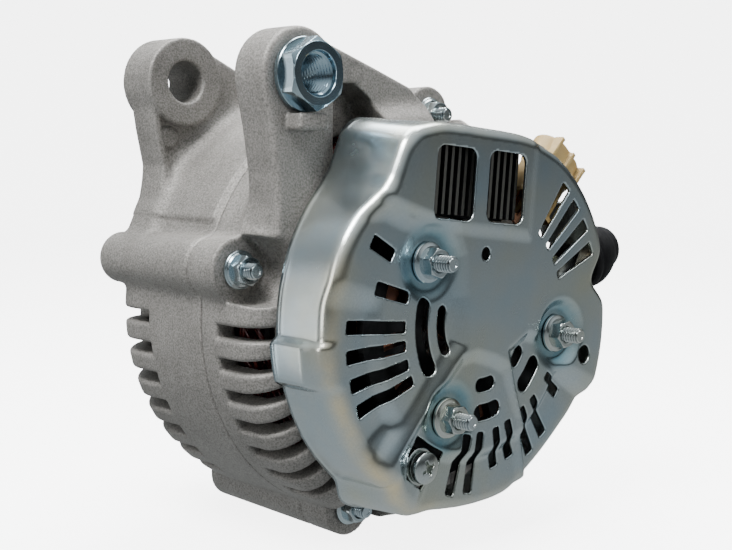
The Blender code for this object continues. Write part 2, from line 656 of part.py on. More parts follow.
def make_claws():
    low, high = CLAW_ENDS_Y
    middle = (low + high) / 2
    for name, root, tip, turn in (("pole_claw_rear", low, high - 4.0, 0.0),
                                  ("pole_claw_front", high, low + 4.0, 30.0)):
        step = 1.0 if tip > root else -1.0
        inner = ROTOR_JOURNAL_R + GAP
        profile = [(inner, root), (35.0, root), (35.0, root + step * CLAW_DISC),
                   (18.5, root + step * CLAW_DISC), (18.5, middle - step * 0.15),
                   (inner, middle - step * 0.15)]
        disc = turned(name, profile, 24, closed=True)
        join(disc, *[claw(turn + 60.0 * i, root, tip) for i in range(CLAW_COUNT)])
        finish(disc, "rotor_iron")


def make_field():
    clear = 0.9
    low = CLAW_ENDS_Y[0] + CLAW_DISC + clear
    high = CLAW_ENDS_Y[1] - CLAW_DISC - clear
    bobbin = [(18.8, low), (39.0, low), (39.0, low + 1.2), (20.2, low + 1.2), (20.2, high - 1.2),
              (39.0, high - 1.2), (39.0, high), (18.8, high)]
    finish(turned("field_bobbin", bobbin, 20, closed=True), "brown_plastic")
    finish(ring("field_coil", 21.0, 38.4, low + 1.5, high - 1.5, 20), "copper_enamel")


def make_shaft():
    profile = [(0.0, 4.0), (4.2, 4.0), (4.5, 4.4), (4.5, 24.0), (REAR_JOURNAL_R, 24.2),
               (REAR_JOURNAL_R, 43.0), (ROTOR_JOURNAL_R, 43.2), (ROTOR_JOURNAL_R, 90.0),
               (FRONT_JOURNAL_R, 90.2), (FRONT_JOURNAL_R, PULLEY_Y[1] - 1.8), (7.0, PULLEY_Y[1] - 1.2),
               (7.0, SHAFT_TIP_Y - 1.0), (6.2, SHAFT_TIP_Y), (0.0, SHAFT_TIP_Y)]
    finish(turned("rotor_shaft", profile, 20), "steel")


def make_fan(name, plate_y, blade_y, blades, inner_r):
    """A pressed fan: a plate with blades that stand away from the claws."""
    low, high = sorted(plate_y)
    plate = ring(name, inner_r, 44.0, low, high, 24)
    wings = []
    for i in range(blades):
        lead = 360.0 * i / blades
        inner = [polar(31.0, lead), polar(31.0, lead + 2.5)]
        outer = [polar(43.8, lead + 17.0), polar(43.8, lead + 19.0)]
        outline = [inner[0], outer[0], outer[1], inner[1]]
        near, far = sorted((plate_y[0] + 0.2, blade_y))
        wings.append(prism("blade", outline, near, far))
    join(plate, *wings)
    finish(plate, "steel")


def make_slip_rings():
    sleeve = [(4.8, 5.0), (6.6, 5.0), (6.6, 5.7), (5.9, 5.7), (5.9, 18.3), (6.6, 18.3), (6.6, 21.5),
              (4.8, 21.5)]
    finish(turned("slip_ring_sleeve", sleeve, 16, closed=True), "black_plastic")
    for name, y in zip(("slip_ring_outer", "slip_ring_inner"), RING_CENTRES_Y):
        finish(ring(name, 6.2, RING_R, y - RING_WIDTH / 2, y + RING_WIDTH / 2, 20), "copper")


def make_bearing(prefix, r_in, r_out, low, high, balls):
    """A ball bearing: two grooved races, and the balls with the cage that spaces them."""
    mid_r, mid_y = (r_in + r_out) / 2, (low + high) / 2
    ball_r = (r_out - r_in) * BALL_SHARE
    groove_r = ball_r + 0.8
    shoulder = ball_r * 0.62
    spread = math.degrees(math.acos(shoulder / groove_r))
    angles = [spread, 0.0, -spread]
    outer = [(r_out, low), (r_out, high), (mid_r + shoulder, high)]
    groove = [(groove_r * math.cos(math.radians(a)), groove_r * math.sin(math.radians(a)))
              for a in angles]
    outer += [(mid_r + across, mid_y + along) for across, along in groove]
    outer += [(mid_r + shoulder, low)]
    inner = [(r_in, low), (mid_r - shoulder, low)]
    inner += [(mid_r - across, mid_y - along) for across, along in groove]
    inner += [(mid_r - shoulder, high), (r_in, high)]
    finish(turned(prefix + "_outer_race", outer, 18, closed=True), "steel")
    finish(turned(prefix + "_inner_race", inner, 18, closed=True), "steel")
    cage = ring(prefix + "_balls", mid_r - 0.7, mid_r + 0.7, mid_y - ball_r * 0.7,
                mid_y + ball_r * 0.7, 14)
    spheres = []
    for i in range(balls):
        x, z = polar(mid_r, 360.0 * i / balls)
        arc = [math.pi * k / 4 for k in range(5)]
        profile = [(ball_r * math.sin(t), mid_y - ball_r * math.cos(t)) for t in arc]
        profile[0] = (0.0, mid_y - ball_r)
        profile[-1] = (0.0, mid_y + ball_r)
        spheres.append(turned("ball", profile, 6, (x, z)))
    finish(join(cage, *spheres), "steel")


def make_retainer():
    """The plate that holds the front bearing, with its three screws."""
    plate = ring("bearing_retainer", 13.5, 26.5, 90.4, 91.7, 24)
    holes = [rod("hole", 2.0, 88.0, 94.0, 8, polar(RETAINER_SCREW_CIRCLE_R, a))
             for a in RETAINER_ANGLES]
    finish(cut(plate, *holes), "steel")
    for i, a in enumerate(RETAINER_ANGLES, 1):
        profile = [(0.0, 89.0), (2.8, 89.0), (2.8, 90.1), (1.7, 90.1), (1.7, 98.0), (0.0, 98.0)]
        finish(turned(f"retainer_screw_{i}", profile, 8, polar(RETAINER_SCREW_CIRCLE_R, a)),
               "zinc_steel")


def make_pulley():
    low, high = PULLEY_Y
    inner = FRONT_JOURNAL_R + GAP
    lip = 1.6
    pitch = (high - low - 2 * lip) / PULLEY_GROOVES
    outline = [(inner, low), (13.0, low), (13.0, low + 4.0), (22.5, low + 4.0), (22.5, low),
               (PULLEY_R, low), (PULLEY_R, low + lip)]
    for i in range(PULLEY_GROOVES):
        start = low + lip + pitch * i
        outline += [(PULLEY_R - 2.6, start + pitch * 0.5)]
        if i < PULLEY_GROOVES - 1:
            outline += [(PULLEY_R - 0.2, start + pitch)]
    outline += [(PULLEY_R, high - lip), (PULLEY_R, high), (22.5, high), (20.0, high - 6.0),
                (13.0, high - 6.0), (13.0, high - 1.0), (inner, high - 1.0)]
    finish(turned("pulley", outline, 24, closed=True), "pulley_steel")
    nut = prism("pulley_nut", hexagon(22.0), high - 1.0 + GAP, high + 6.0)
    finish(cut(nut, rod("hole", 7.2, high - 3.0, high + 9.0, 16)), "zinc_steel")


# ---------------------------------------------------------------- electrics under the cover

def make_rectifier():
    """Two cooling plates with an insulating terminal block between them."""
    holes = [(c, STUD_R + 0.5) for c in STUDS] + [((SCREW_X, SCREW_Z), 2.6)]
    plates = (("rectifier_positive_plate", (19.0, 43.0), (134.0, 388.0), (9.0, 12.0), "sink_aluminium"),
              ("rectifier_terminal_block", (20.0, 38.0), (140.0, 318.0), (12.4, 17.4), "brown_plastic"),
              ("rectifier_negative_plate", (23.5, 51.0), (137.0, 325.0), (17.8, 21.0), "sink_aluminium"))
    for name, radii, angles, levels, finish_name in plates:
        plate = prism(name, sector(*radii, *angles, 14), *levels)
        tools = [rod("hole", r, 0.0, 30.0, 10, c) for c, r in holes]
        if name != "rectifier_terminal_block":
            middle = (radii[0] + radii[1]) / 2
            tools += [prism("vent", sector(middle - 4.0, middle + 4.0, a - 4.0, a + 4.0, 2), 0.0, 30.0)
                      for a in range(162, 312, 25)]
        finish(cut(plate, *tools), finish_name)


def make_regulator():
    """The regulator's case, and its finned heat sink behind the cover's windows."""
    centre = (-3.6, 42.5)
    case = [(-24.0, 33.0), (16.5, 33.0), (16.5, 53.0), (-24.0, 53.0)]
    finish(prism("regulator_case", turn_about(case, centre, WINDOW_TURN), 10.4, 23.0), "black_plastic")
    base = [(-26.0, 31.0), (17.0, 31.0), (17.0, 54.5), (-26.0, 54.5)]
    sink = prism("regulator_heat_sink", turn_about(base, centre, WINDOW_TURN), 8.4, 10.0)
    fins = []
    count = 15
    for i in range(count):
        x = -24.8 + 40.6 * i / (count - 1)
        fin = [(x - 0.55, 31.6), (x + 0.55, 31.6), (x + 0.55, 54.0), (x - 0.55, 54.0)]
        fins.append(prism("fin", turn_about(fin, centre, WINDOW_TURN), 2.6, 8.8))
    finish(join(sink, *fins), "sink_aluminium")


def make_brushes():
    """The holder above the slip rings, its two brushes and their springs."""
    low_z, high_z = 9.4, 27.6
    holder = box("brush_holder", (-6.2, 4.4, low_z), (6.2, 20.0, high_z))
    channels = [box("channel", (-BRUSH_HALF_X - GAP, y - BRUSH_HALF_Y - GAP, low_z - 2.0),
                    (BRUSH_HALF_X + GAP, y + BRUSH_HALF_Y + GAP, SPRING_TOP_Z + GAP))
                for y in RING_CENTRES_Y]
    finish(cut(holder, *channels), "black_plastic")
    brush_low = RING_R + GAP
    brush_high = brush_low + BRUSH_LENGTH
    for name, y in zip(("outer", "inner"), RING_CENTRES_Y):
        brush = box("brush_" + name, (-BRUSH_HALF_X, y - BRUSH_HALF_Y, brush_low),
                    (BRUSH_HALF_X, y + BRUSH_HALF_Y, brush_high))
        set_origin(finish(brush, "carbon"), (0.0, y, brush_low))
        coil = spring("brush_spring_" + name, (0.0, y), brush_high + GAP, SPRING_TOP_Z, 1.6, 0.28, 5)
        set_origin(finish(coil, "steel"), (0.0, y, SPRING_TOP_Z))


def spring(name, centre, z0, z1, radius, wire_r, turns):
    """A helical spring whose axis is parallel to Z; centre is its (x, y)."""
    per_turn, around = 7, 4
    count = turns * per_turn + 1
    sections = []
    for i in range(count):
        t = i / (count - 1)
        a = 2 * math.pi * turns * t
        z = z0 + wire_r + (z1 - z0 - 2 * wire_r) * t
        radial = (math.cos(a), math.sin(a))
        section = []
        for k in range(around):
            b = 2 * math.pi * k / around
            r = radius + wire_r * math.cos(b)
            section.append((centre[0] + r * radial[0], centre[1] + r * radial[1],
                            z + wire_r * math.sin(b)))
        sections.append(section)
    return loft(name, sections)


# ---------------------------------------------------------------- connector and terminal

def racetrack(half_length, half_width, steps=4):
    """An oval with two straight sides, as (across, y) points."""
    points = []
    for side in (1, -1):
        for k in range(steps * 2 + 1):
            a = math.radians(-90.0 + 180.0 * k / (steps * 2))
            points.append((side * (half_length - half_width + half_width * math.cos(a)),
                           side * half_width * math.sin(a)))
    return points


def disc_points(radius, steps):
    """A regular outline as (across, y) points."""
    return [polar(radius, 360.0 * i / steps) for i in range(steps)]


def radial(points, angle, r, y):
    """Place (across, y) points on the plane at radius r that faces away from the axis."""
    ux, uz = polar(1.0, angle)
    return [(ux * r - uz * a, y + b, uz * r + ux * a) for a, b in points]


def radial_loft(name, angle, y, sections):
    """Join outlines of (across, y) points, each at its own radius."""
    return loft(name, [radial(points, angle, r, y) for r, points in sections])


def radial_box(name, angle, radii, half_across, levels):
    low, high = levels
    corners = [(-half_across, low), (half_across, low), (half_across, high), (-half_across, high)]
    return radial_loft(name, angle, 0.0, [(r, corners) for r in radii])


def make_connector():
    """A hollow oval shroud that points away from the axis, with keying ribs and pins."""
    r0, r1 = CONNECTOR_R
    y, angle = CONNECTOR_Y, CONNECTOR_ANGLE
    outer, inner = racetrack(9.4, 6.4), racetrack(7.8, 4.8)
    shroud = radial_loft("connector_shroud", angle, y, [(r0 + 10.0, outer), (r1, outer)])
    base = radial_box("base", angle, (r0 + 5.0, r0 + 14.0), 10.5, (y - 6.0, y + 9.0))
    ribs = []
    for a in (-8.0, 0.0, 8.0):
        rib = [(a - 0.7, -7.4), (a + 0.7, -7.4), (a + 0.7, -4.0), (a - 0.7, -4.0)]
        ribs.append(radial_loft("rib", angle, y, [(r0 + 12.0, rib), (r1 - 1.0, rib)]))
    join(shroud, base, *ribs)
    socket = radial_loft("socket", angle, y, [(r0 + 18.0, inner), (r1 + 5.0, inner)])
    across = (-4.2, 0.0, 4.2)
    slots, blades = [], []
    for a in across:
        slot = [(a - 1.1, -0.8), (a + 1.1, -0.8), (a + 1.1, 0.8), (a - 1.1, 0.8)]
        slots.append(radial_loft("pin_slot", angle, y, [(r0, slot), (r0 + 20.0, slot)]))
        blade = [(a - 0.8, -0.45), (a + 0.8, -0.45), (a + 0.8, 0.45), (a - 0.8, 0.45)]
        blades.append(radial_loft("blade", angle, y, [(r0 + 4.0, blade), (r1 - 11.0, blade)]))
    cut(shroud, socket, *slots)
    finish(shroud, "tan_plastic")
    pins = radial_box("connector_pins", angle, (r0 + 2.4, r0 + 4.6), 5.2, (y - 0.5, y + 0.5))
    finish(join(pins, *blades), "copper")


def make_terminal():
    """The battery terminal: a stud that leaves through the cover's side, nut and rubber boot."""
    angle, y = TERMINAL_ANGLE, TERMINAL_Y
    r0, r1 = TERMINAL_R
    stud = radial_box("b_terminal_stud", angle, (r0 - 6.0, r0 + 7.0), 5.0, (12.4, 18.2))
    shank = [(r0 + 6.0, disc_points(3.0, 10)), (r1 - 0.8, disc_points(3.0, 10)),
             (r1, disc_points(2.3, 10))]
    finish(join(stud, radial_loft("shank", angle, y, shank)), "zinc_steel")
    hexagon_points = disc_points(5.8, 6)
    nut = radial_loft("b_terminal_nut", angle, y, [(r, hexagon_points) for r in (65.0, 70.5)])
    hole = [(r, disc_points(3.2, 10)) for r in (60.0, 75.0)]
    finish(cut(nut, radial_loft("hole", angle, y, hole)), "zinc_steel")
    steps = 16
    skin = [(62.4, BOOT_R - 0.7), (63.2, BOOT_R), (73.0, BOOT_R), (77.4, BOOT_R - 1.6),
            (80.2, BOOT_R - 4.8), (81.0, BOOT_R - 8.0)]
    hollow = [(60.0, 8.0), (72.0, 8.0), (76.5, 5.0)]
    boot = radial_loft("b_terminal_boot", angle, y, [(r, disc_points(d, steps)) for r, d in skin])
    inside = radial_loft("hollow", angle, y, [(r, disc_points(d, steps)) for r, d in hollow])
    finish(cut(boot, inside), "black_rubber")


# ---------------------------------------------------------------- assembly

def build():
    clear_scene()
    make_front_housing()
    make_rear_housing()
    make_stator()
    make_shaft()
    make_claws()
    make_field()
    make_fan("rear_fan", (46.7, 45.3), 36.0, 8, ROTOR_JOURNAL_R + GAP)
    make_fan("front_fan", (87.3, 88.6), 96.0, 8, ROTOR_JOURNAL_R + GAP)
    make_slip_rings()
    make_bearing("rear_bearing", REAR_JOURNAL_R + GAP, REAR_BEARING_R, *REAR_BEARING_Y, 6)
    make_bearing("front_bearing", FRONT_JOURNAL_R + GAP, FRONT_BEARING_R, *FRONT_BEARING_Y, 7)
    make_retainer()
    make_pulley()
    make_through_bolts()
    make_rear_cover()
    make_cover_fasteners()
    make_rectifier_screw()
    make_rectifier()
    make_regulator()
    make_brushes()
    make_connector()
    make_terminal()
    make_sleeve_nut()


build()
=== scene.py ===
"""Car alternator: the looks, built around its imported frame.

Shapes are worked out in millimetres in the frame's own axes: the rotor turns about Y, the rear
cover's face looks towards -Y, and Z is up. They become metres when a mesh is made.
"""
import json
import math

import bmesh
import bpy
import numpy as np
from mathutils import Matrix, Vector


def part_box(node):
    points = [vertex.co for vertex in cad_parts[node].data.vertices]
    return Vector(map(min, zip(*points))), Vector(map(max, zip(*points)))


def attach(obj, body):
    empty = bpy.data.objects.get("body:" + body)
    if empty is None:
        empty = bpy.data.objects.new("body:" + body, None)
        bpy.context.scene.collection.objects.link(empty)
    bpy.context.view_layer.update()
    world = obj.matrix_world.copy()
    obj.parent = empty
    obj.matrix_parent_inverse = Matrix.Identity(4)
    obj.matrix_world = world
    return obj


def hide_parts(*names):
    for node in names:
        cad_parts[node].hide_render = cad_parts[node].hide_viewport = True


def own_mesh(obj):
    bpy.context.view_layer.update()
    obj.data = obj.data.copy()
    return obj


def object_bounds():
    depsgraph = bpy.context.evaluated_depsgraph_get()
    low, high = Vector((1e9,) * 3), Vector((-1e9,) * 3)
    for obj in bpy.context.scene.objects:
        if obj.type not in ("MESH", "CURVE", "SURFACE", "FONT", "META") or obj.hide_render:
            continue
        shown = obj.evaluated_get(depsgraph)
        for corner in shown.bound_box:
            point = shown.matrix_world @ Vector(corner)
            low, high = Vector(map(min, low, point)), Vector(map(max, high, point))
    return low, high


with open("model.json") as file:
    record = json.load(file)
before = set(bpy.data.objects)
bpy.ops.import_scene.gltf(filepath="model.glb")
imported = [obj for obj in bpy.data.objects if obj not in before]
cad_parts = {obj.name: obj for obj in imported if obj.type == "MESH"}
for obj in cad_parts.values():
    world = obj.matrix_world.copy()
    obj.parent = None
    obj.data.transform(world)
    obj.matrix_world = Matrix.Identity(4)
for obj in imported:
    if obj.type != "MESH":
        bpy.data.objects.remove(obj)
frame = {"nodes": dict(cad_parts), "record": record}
cad_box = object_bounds()

MM = 0.001
CAST_VOXEL = 0.75
FINE_VOXEL = 0.22
FACE_STEP = 0.55


def place(node):
    """A CAD node's middle, low corner and high corner in millimetres."""
    low, high = (np.array(c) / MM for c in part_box(node))
    return (low + high) / 2, low, high


BOLTS = [tuple(place(f"through_bolt_{i}")[0][[0, 2]]) for i in (1, 2, 3, 4)]
BOLT_DEG = [math.degrees(math.atan2(z, x)) for x, z in BOLTS]
STUDS = [tuple(place(f"cover_stud_{i}")[0][[0, 2]]) for i in (1, 2, 3)]
SCREW = tuple(place("rectifier_screw")[0][[0, 2]])
EAR = tuple(place("mount_sleeve_nut")[0][[0, 2]])
SEAM = (place("rear_housing")[2][1] + place("front_housing")[1][1]) / 2
BODY_R = 67.0
CONNECTOR_DEG = 47.0
CONNECTOR_Y = 12.0
TERMINAL_DEG = 13.0
TERMINAL_Y = 15.2
BARREL_BEND = 11.5          # radius between each housing's barrel and its end
STUD_FLATS = 8.0            # nuts and bolt heads, across flats
STUD_THREAD_R = 2.48
STUD_SHANK_R = 2.45
NUT_BORE_R = 2.52
BOLT_HOLE_R = 2.8
SLEEVE_FLATS = 18.6
VENT_PITCH_DEG = 8.7
VENT_HALF_WIDTH = 2.0
VENT_INNER_R = 56.6
BEVELS = {"regulator_heat_sink": 0.12, "stator_core": 0.1, "brush_holder": 0.35}


# ---------------------------------------------------------------- materials

class Nodes:
    """A small helper that builds a material's node tree."""

    def __init__(self, name, **values):
        self.material = bpy.data.materials.new(name)
        self.material.use_nodes = True
        self.tree = self.material.node_tree
        self.shader = self.tree.nodes["Principled BSDF"]
        for key, value in values.items():
            self.shader.inputs[key.replace("_", " ")].default_value = value
        self.object_space = self.add("ShaderNodeTexCoord").outputs["Object"]

    def add(self, kind, **values):
        node = self.tree.nodes.new(kind)
        for key, value in values.items():
            if key in node.inputs:
                node.inputs[key].default_value = value
            else:
                setattr(node, key, value)
        return node

    def link(self, a, b):
        self.tree.links.new(a, b)

    def stretched(self, scale):
        """Object coordinates, scaled apart along the three axes."""
        mapping = self.add("ShaderNodeMapping", Scale=scale)
        self.link(self.object_space, mapping.inputs["Vector"])
        return mapping.outputs["Vector"]

    def noise(self, scale, detail=3.0, rough=0.5, vector=None):
        node = self.add("ShaderNodeTexNoise", Scale=scale, Detail=detail, Roughness=rough)
        self.link(vector or self.object_space, node.inputs["Vector"])
        return node.outputs["Fac"]

    def ramp(self, value, stops):
        """Colours or greys along a value from 0 to 1."""
        node = self.add("ShaderNodeValToRGB")
        ramp = node.color_ramp
        while len(ramp.elements) < len(stops):
            ramp.elements.new(0.5)
        for element, (at, colour) in zip(ramp.elements, stops):
            element.position = at
            grey = (colour,) * 3 if isinstance(colour, float) else colour
            element.color = (*grey, 1.0)
        self.link(value, node.inputs["Fac"])
        return node.outputs["Color"]

    def mix(self, factor, a, b, blend="MIX"):
        """Mix two colours; each may be a socket or a tuple."""
        node = self.add("ShaderNodeMix", data_type="RGBA", blend_type=blend)
        for value, index in ((factor, 0), (a, 6), (b, 7)):
            if isinstance(value, (int, float)):
                node.inputs[index].default_value = value
            elif isinstance(value, tuple):
                node.inputs[index].default_value = (*value, 1.0)
            else:
                self.link(value, node.inputs[index])
        return node.outputs[2]

    def colour(self, socket):
        self.link(socket, self.shader.inputs["Base Color"])

    def rough(self, socket):
        self.link(socket, self.shader.inputs["Roughness"])

    def bump(self, *layers):
        """Stack bumps, each (height socket, strength, distance in millimetres)."""
        normal = None
        for height, strength, distance in layers:
            node = self.add("ShaderNodeBump", Strength=strength, Distance=distance * MM)
            self.link(height, node.inputs["Height"])
            if normal:
                self.link(normal, node.inputs["Normal"])
            normal = node.outputs["Normal"]
        self.link(normal, self.shader.inputs["Normal"])
        return self.material


def make_cast(name, dark, light, metallic):
    """Shot-blasted aluminium casting: fine grain, faint blotches, small pits."""
    n = Nodes(name, Metallic=metallic)
    grain = n.noise(1700.0, 2.0, 0.6)
    blotch = n.noise(70.0, 4.0, 0.6)
    fine = n.noise(900.0, 3.0, 0.65)
    tone = n.ramp(blotch, [(0.3, dark), (0.7, light)])
    speck = n.ramp(grain, [(0.33, 0.5), (0.62, 1.16)])
    n.colour(n.mix(0.85, tone, speck, "MULTIPLY"))
    n.rough(n.ramp(fine, [(0.3, 0.46), (0.75, 0.66)]))
    pits = n.ramp(n.noise(420.0, 1.0, 0.4), [(0.22, 0.0), (0.3, 1.0)])
    return n.bump((grain, 0.5, 0.3), (fine, 0.35, 0.45), (pits, 0.25, 0.3))


def make_zinc(name, tint, rough=(0.16, 0.34), warm=0.5, sheet=False):
    """Bright zinc plate: blue-white with faint yellow clouds, fine grain, dust and scratches."""
    n = Nodes(name, Metallic=1.0)
    cloud = n.noise(34.0, 3.0, 0.5)
    grain = n.noise(1900.0, 2.0, 0.55)
    veil = n.noise(120.0, 3.0, 0.5)
    scuff = n.noise(75.0, 4.0, 0.6, n.stretched((1.0, 0.6, 2.0)))
    yellow = tuple(c * k for c, k in zip(tint, (1.10, 1.02, 0.86)))
    blue = tuple(c * k for c, k in zip(tint, (0.84, 0.96, 1.06)))
    base = n.ramp(cloud, [(0.3, blue), (0.5, tint), (0.5 + 0.35 * (1.2 - warm), yellow)])
    # On the sheet, vertex layers paint a cream highlight on the bends (partly yellow tint), painted teal-blue
    # shade round the stud pockets, and near-black in thread roots, broken up by patchy noise.
    if sheet:
        patchiness = n.ramp(n.noise(90.0, 4.0, 0.55), [(0.3, 0.35), (0.66, 1.0)])
        for layer, colour in (("cream_highlight", (0.90, 0.80, 0.56)), ("blue", (0.20, 0.38, 0.45)),
                              ("dark", (0.03, 0.055, 0.065))):
            weight = n.add("ShaderNodeAttribute", attribute_name=layer)
            amount = n.mix(1.0, patchiness, weight.outputs["Color"], "MULTIPLY")
            base = n.mix(amount, base, colour)
    n.colour(n.mix(0.3, base, n.ramp(grain, [(0.3, 0.8), (0.7, 1.08)]), "MULTIPLY"))
    n.rough(n.mix(0.25, n.ramp(veil, [(0.2, rough[0]), (0.8, rough[1])]),
                  n.ramp(scuff, [(0.2, rough[0]), (0.8, rough[1] * 1.1)])))
    if not sheet:
        n.bump((grain, 0.06, 0.05))
    return n.material


def make_turned(name, colour, rough=0.3, metallic=1.0):
    """Machined or drawn steel with fine rings round the rotor's axis and faint stains."""
    n = Nodes(name, Metallic=metallic)
    stain = n.noise(90.0, 4.0, 0.6)
    lines = n.noise(700.0, 2.0, 0.5, n.stretched((0.15, 6.0, 0.15)))
    n.colour(n.mix(0.5, colour, n.ramp(stain, [(0.3, 0.62), (0.7, 1.1)]), "MULTIPLY"))
    n.rough(n.ramp(lines, [(0.3, rough * 0.75), (0.7, rough * 1.35)]))
    return n.bump((lines, 0.12, 0.1))


def make_plastic(name, dark, light, rough=0.45, grain=900.0, specular=0.5):
    """Moulded plastic or rubber with a fine texture and slightly uneven colour."""
    n = Nodes(name, Specular_IOR_Level=specular)
    cloud = n.noise(140.0, 4.0, 0.6)
    fine = n.noise(grain, 3.0, 0.6)
    n.colour(n.ramp(cloud, [(0.3, dark), (0.7, light)]))
    n.rough(n.ramp(fine, [(0.3, rough * 0.8), (0.7, rough * 1.2)]))
    return n.bump((fine, 0.18, 0.12), (cloud, 0.1, 0.3))


def make_enamel(name):
    """Enamelled copper wire under varnish."""
    n = Nodes(name, Metallic=0.25, Coat_Weight=0.6, Coat_Roughness=0.15)
    cloud = n.noise(420.0, 3.0, 0.6)
    n.colour(n.ramp(cloud, [(0.3, (0.035, 0.004, 0.003)), (0.55, (0.11, 0.009, 0.006)),
                            (0.8, (0.22, 0.03, 0.015))]))
    n.rough(n.ramp(cloud, [(0.3, 0.25), (0.7, 0.5)]))
    return n.bump((n.noise(1500.0, 2.0), 0.15, 0.1))


def make_stack(name):
    """Stacked electrical steel: thin sheets across the rotor's axis under dark lacquer."""
    n = Nodes(name, Metallic=0.8)
    sheets = n.add("ShaderNodeTexWave", Scale=320.0, Distortion=0.4, bands_direction="Y")
    n.link(n.object_space, sheets.inputs["Vector"])
    stain = n.noise(110.0, 4.0, 0.6)
    n.colour(n.mix(0.6, n.ramp(stain, [(0.3, (0.10, 0.09, 0.09)), (0.7, (0.22, 0.20, 0.19))]),
                   n.ramp(sheets.outputs["Fac"], [(0.2, 0.5), (0.6, 1.1)]), "MULTIPLY"))
    n.rough(n.ramp(stain, [(0.3, 0.4), (0.7, 0.6)]))
    return n.bump((sheets.outputs["Fac"], 0.4, 0.2))


def make_sink(name, edge_y):
    """Black-anodised fins, bare along the front edge that the saw left."""
    n = Nodes(name, Metallic=0.6)
    split = n.add("ShaderNodeSeparateXYZ")
    n.link(n.object_space, split.inputs["Vector"])
    past = n.add("ShaderNodeMath", operation="LESS_THAN")
    past.inputs[1].default_value = edge_y * MM
    n.link(split.outputs["Y"], past.inputs[0])
    cloud = n.noise(260.0, 4.0, 0.6)
    black = n.ramp(cloud, [(0.3, (0.012, 0.013, 0.014)), (0.7, (0.035, 0.036, 0.038))])
    n.colour(n.mix(past.outputs[0], black, (0.11, 0.11, 0.10)))
    n.rough(n.ramp(cloud, [(0.3, 0.38), (0.7, 0.6)]))
    return n.bump((n.noise(900.0, 2.0), 0.15, 0.1))


LOOKS = {
    "cast_aluminium": make_cast("cast_aluminium_look", (0.235, 0.225, 0.21), (0.31, 0.298, 0.28), 0.35),
    "zinc_sheet": make_zinc("zinc_sheet_look", (0.55, 0.62, 0.635), (0.21, 0.29), sheet=True),
    "zinc_steel": make_zinc("zinc_steel_look", (0.58, 0.63, 0.63), (0.14, 0.3)),
    "sleeve_zinc": make_zinc("sleeve_zinc_look", (0.46, 0.58, 0.64), (0.12, 0.26), warm=0.1),
    "steel": make_turned("steel_look", (0.56, 0.56, 0.57)),
    "pulley_steel": make_turned("pulley_steel_look", (0.16, 0.16, 0.17), 0.42, 0.9),
    "copper": make_turned("copper_look", (0.72, 0.36, 0.22), 0.25),
    "rotor_iron": make_turned("rotor_iron_look", (0.24, 0.23, 0.22), 0.5, 0.85),
    "lamination": make_stack("lamination_look"),
    "copper_enamel": make_enamel("copper_enamel_look"),
    "carbon": make_plastic("carbon_look", (0.03, 0.03, 0.03), (0.07, 0.065, 0.06), 0.55),
    "black_plastic": make_plastic("black_plastic_look", (0.015, 0.015, 0.016), (0.035, 0.035, 0.037), 0.4),
    "brown_plastic": make_plastic("brown_plastic_look", (0.32, 0.13, 0.075), (0.46, 0.21, 0.13), 0.45),
    "tan_plastic": make_plastic("tan_plastic_look", (0.40, 0.27, 0.10), (0.50, 0.36, 0.16), 0.42),
    "black_rubber": make_plastic("black_rubber_look", (0.004, 0.004, 0.005), (0.010, 0.010, 0.011), 0.6,
                                 600.0, specular=0.22),
    "sink_aluminium": make_sink("sink_aluminium_look", 2.75),
}
THREAD_LOOK = make_zinc("zinc_thread_look", (0.62, 0.68, 0.69), (0.16, 0.26), sheet=True)
NODE_SLOT = {row["node"]: row["material_slot"] for row in frame["record"]["subparts"]}


# ---------------------------------------------------------------- pieces

def add_piece(name, verts, faces, nodes, body="housing", sharp_deg=None, look=None):
    """A piece from points in millimetres; it stands for CAD nodes and takes their material."""
    mesh = bpy.data.meshes.new(name)
    mesh.from_pydata((np.asarray(verts, float) * MM).tolist(), [],
                     faces.tolist() if isinstance(faces, np.ndarray) else faces)
    obj = bpy.data.objects.new(name, mesh)
    bpy.context.scene.collection.objects.link(obj)
    slot = NODE_SLOT[nodes[0]]
    mesh.materials.append(look or LOOKS[slot])
    mesh.shade_smooth()
    if sharp_deg:
        mesh.set_sharp_from_angle(angle=math.radians(sharp_deg))
    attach(obj, body)
    return obj


def fix_normals(obj):
    """Turn every face outwards."""
    bm = bmesh.new()
    bm.from_mesh(obj.data)
    bmesh.ops.recalc_face_normals(bm, faces=bm.faces)
    bm.to_mesh(obj.data)
    bm.free()


def add_tone(obj, name, values):
    """Store a value from 0 to 1 at each vertex, for a material to read."""
    layer = obj.data.attributes.new(name, "FLOAT", "POINT")
    layer.data.foreach_set("value", values.astype(np.float32))


def stand_in(name, verts, faces, node, tones=None, turn_out=True, **more):
    """A piece that replaces one CAD node."""
    piece = add_piece(name, verts, faces, [node], **more)
    for tone, values in (tones or {}).items():
        add_tone(piece, tone, values)
    if turn_out:
        fix_normals(piece)
    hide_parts(node)
    return piece


def grid_faces(rows, columns):
    """Quads over rows of points whose columns close on themselves."""
    i = np.arange(rows - 1)[:, None]
    j = np.arange(columns)[None, :]
    k = (j + 1) % columns
    return np.stack([i * columns + j, i * columns + k, (i + 1) * columns + k,
                     (i + 1) * columns + j], -1).reshape(-1, 4)


def join_parts(parts):
    """Points and faces of several parts as one."""
    starts = np.cumsum([0] + [len(v) for v, _ in parts[:-1]])
    faces = [[int(start) + int(v) for v in q] for (_, quads), start in zip(parts, starts) for q in quads]
    return np.concatenate([v for v, _ in parts]), faces


def polar(r, deg):
    """The frame's x and z at a radius and an angle."""
    a = np.radians(deg)
    return r * np.cos(a), r * np.sin(a)


def circle(r, y, centre=(0.0, 0.0), steps=96):
    """A row of points round an axis along Y; r may be one radius or one for each point."""
    a = np.arange(steps) * 2 * np.pi / steps
    return np.stack([centre[0] + r * np.cos(a), np.full(steps, float(y)), centre[1] + r * np.sin(a)], 1)


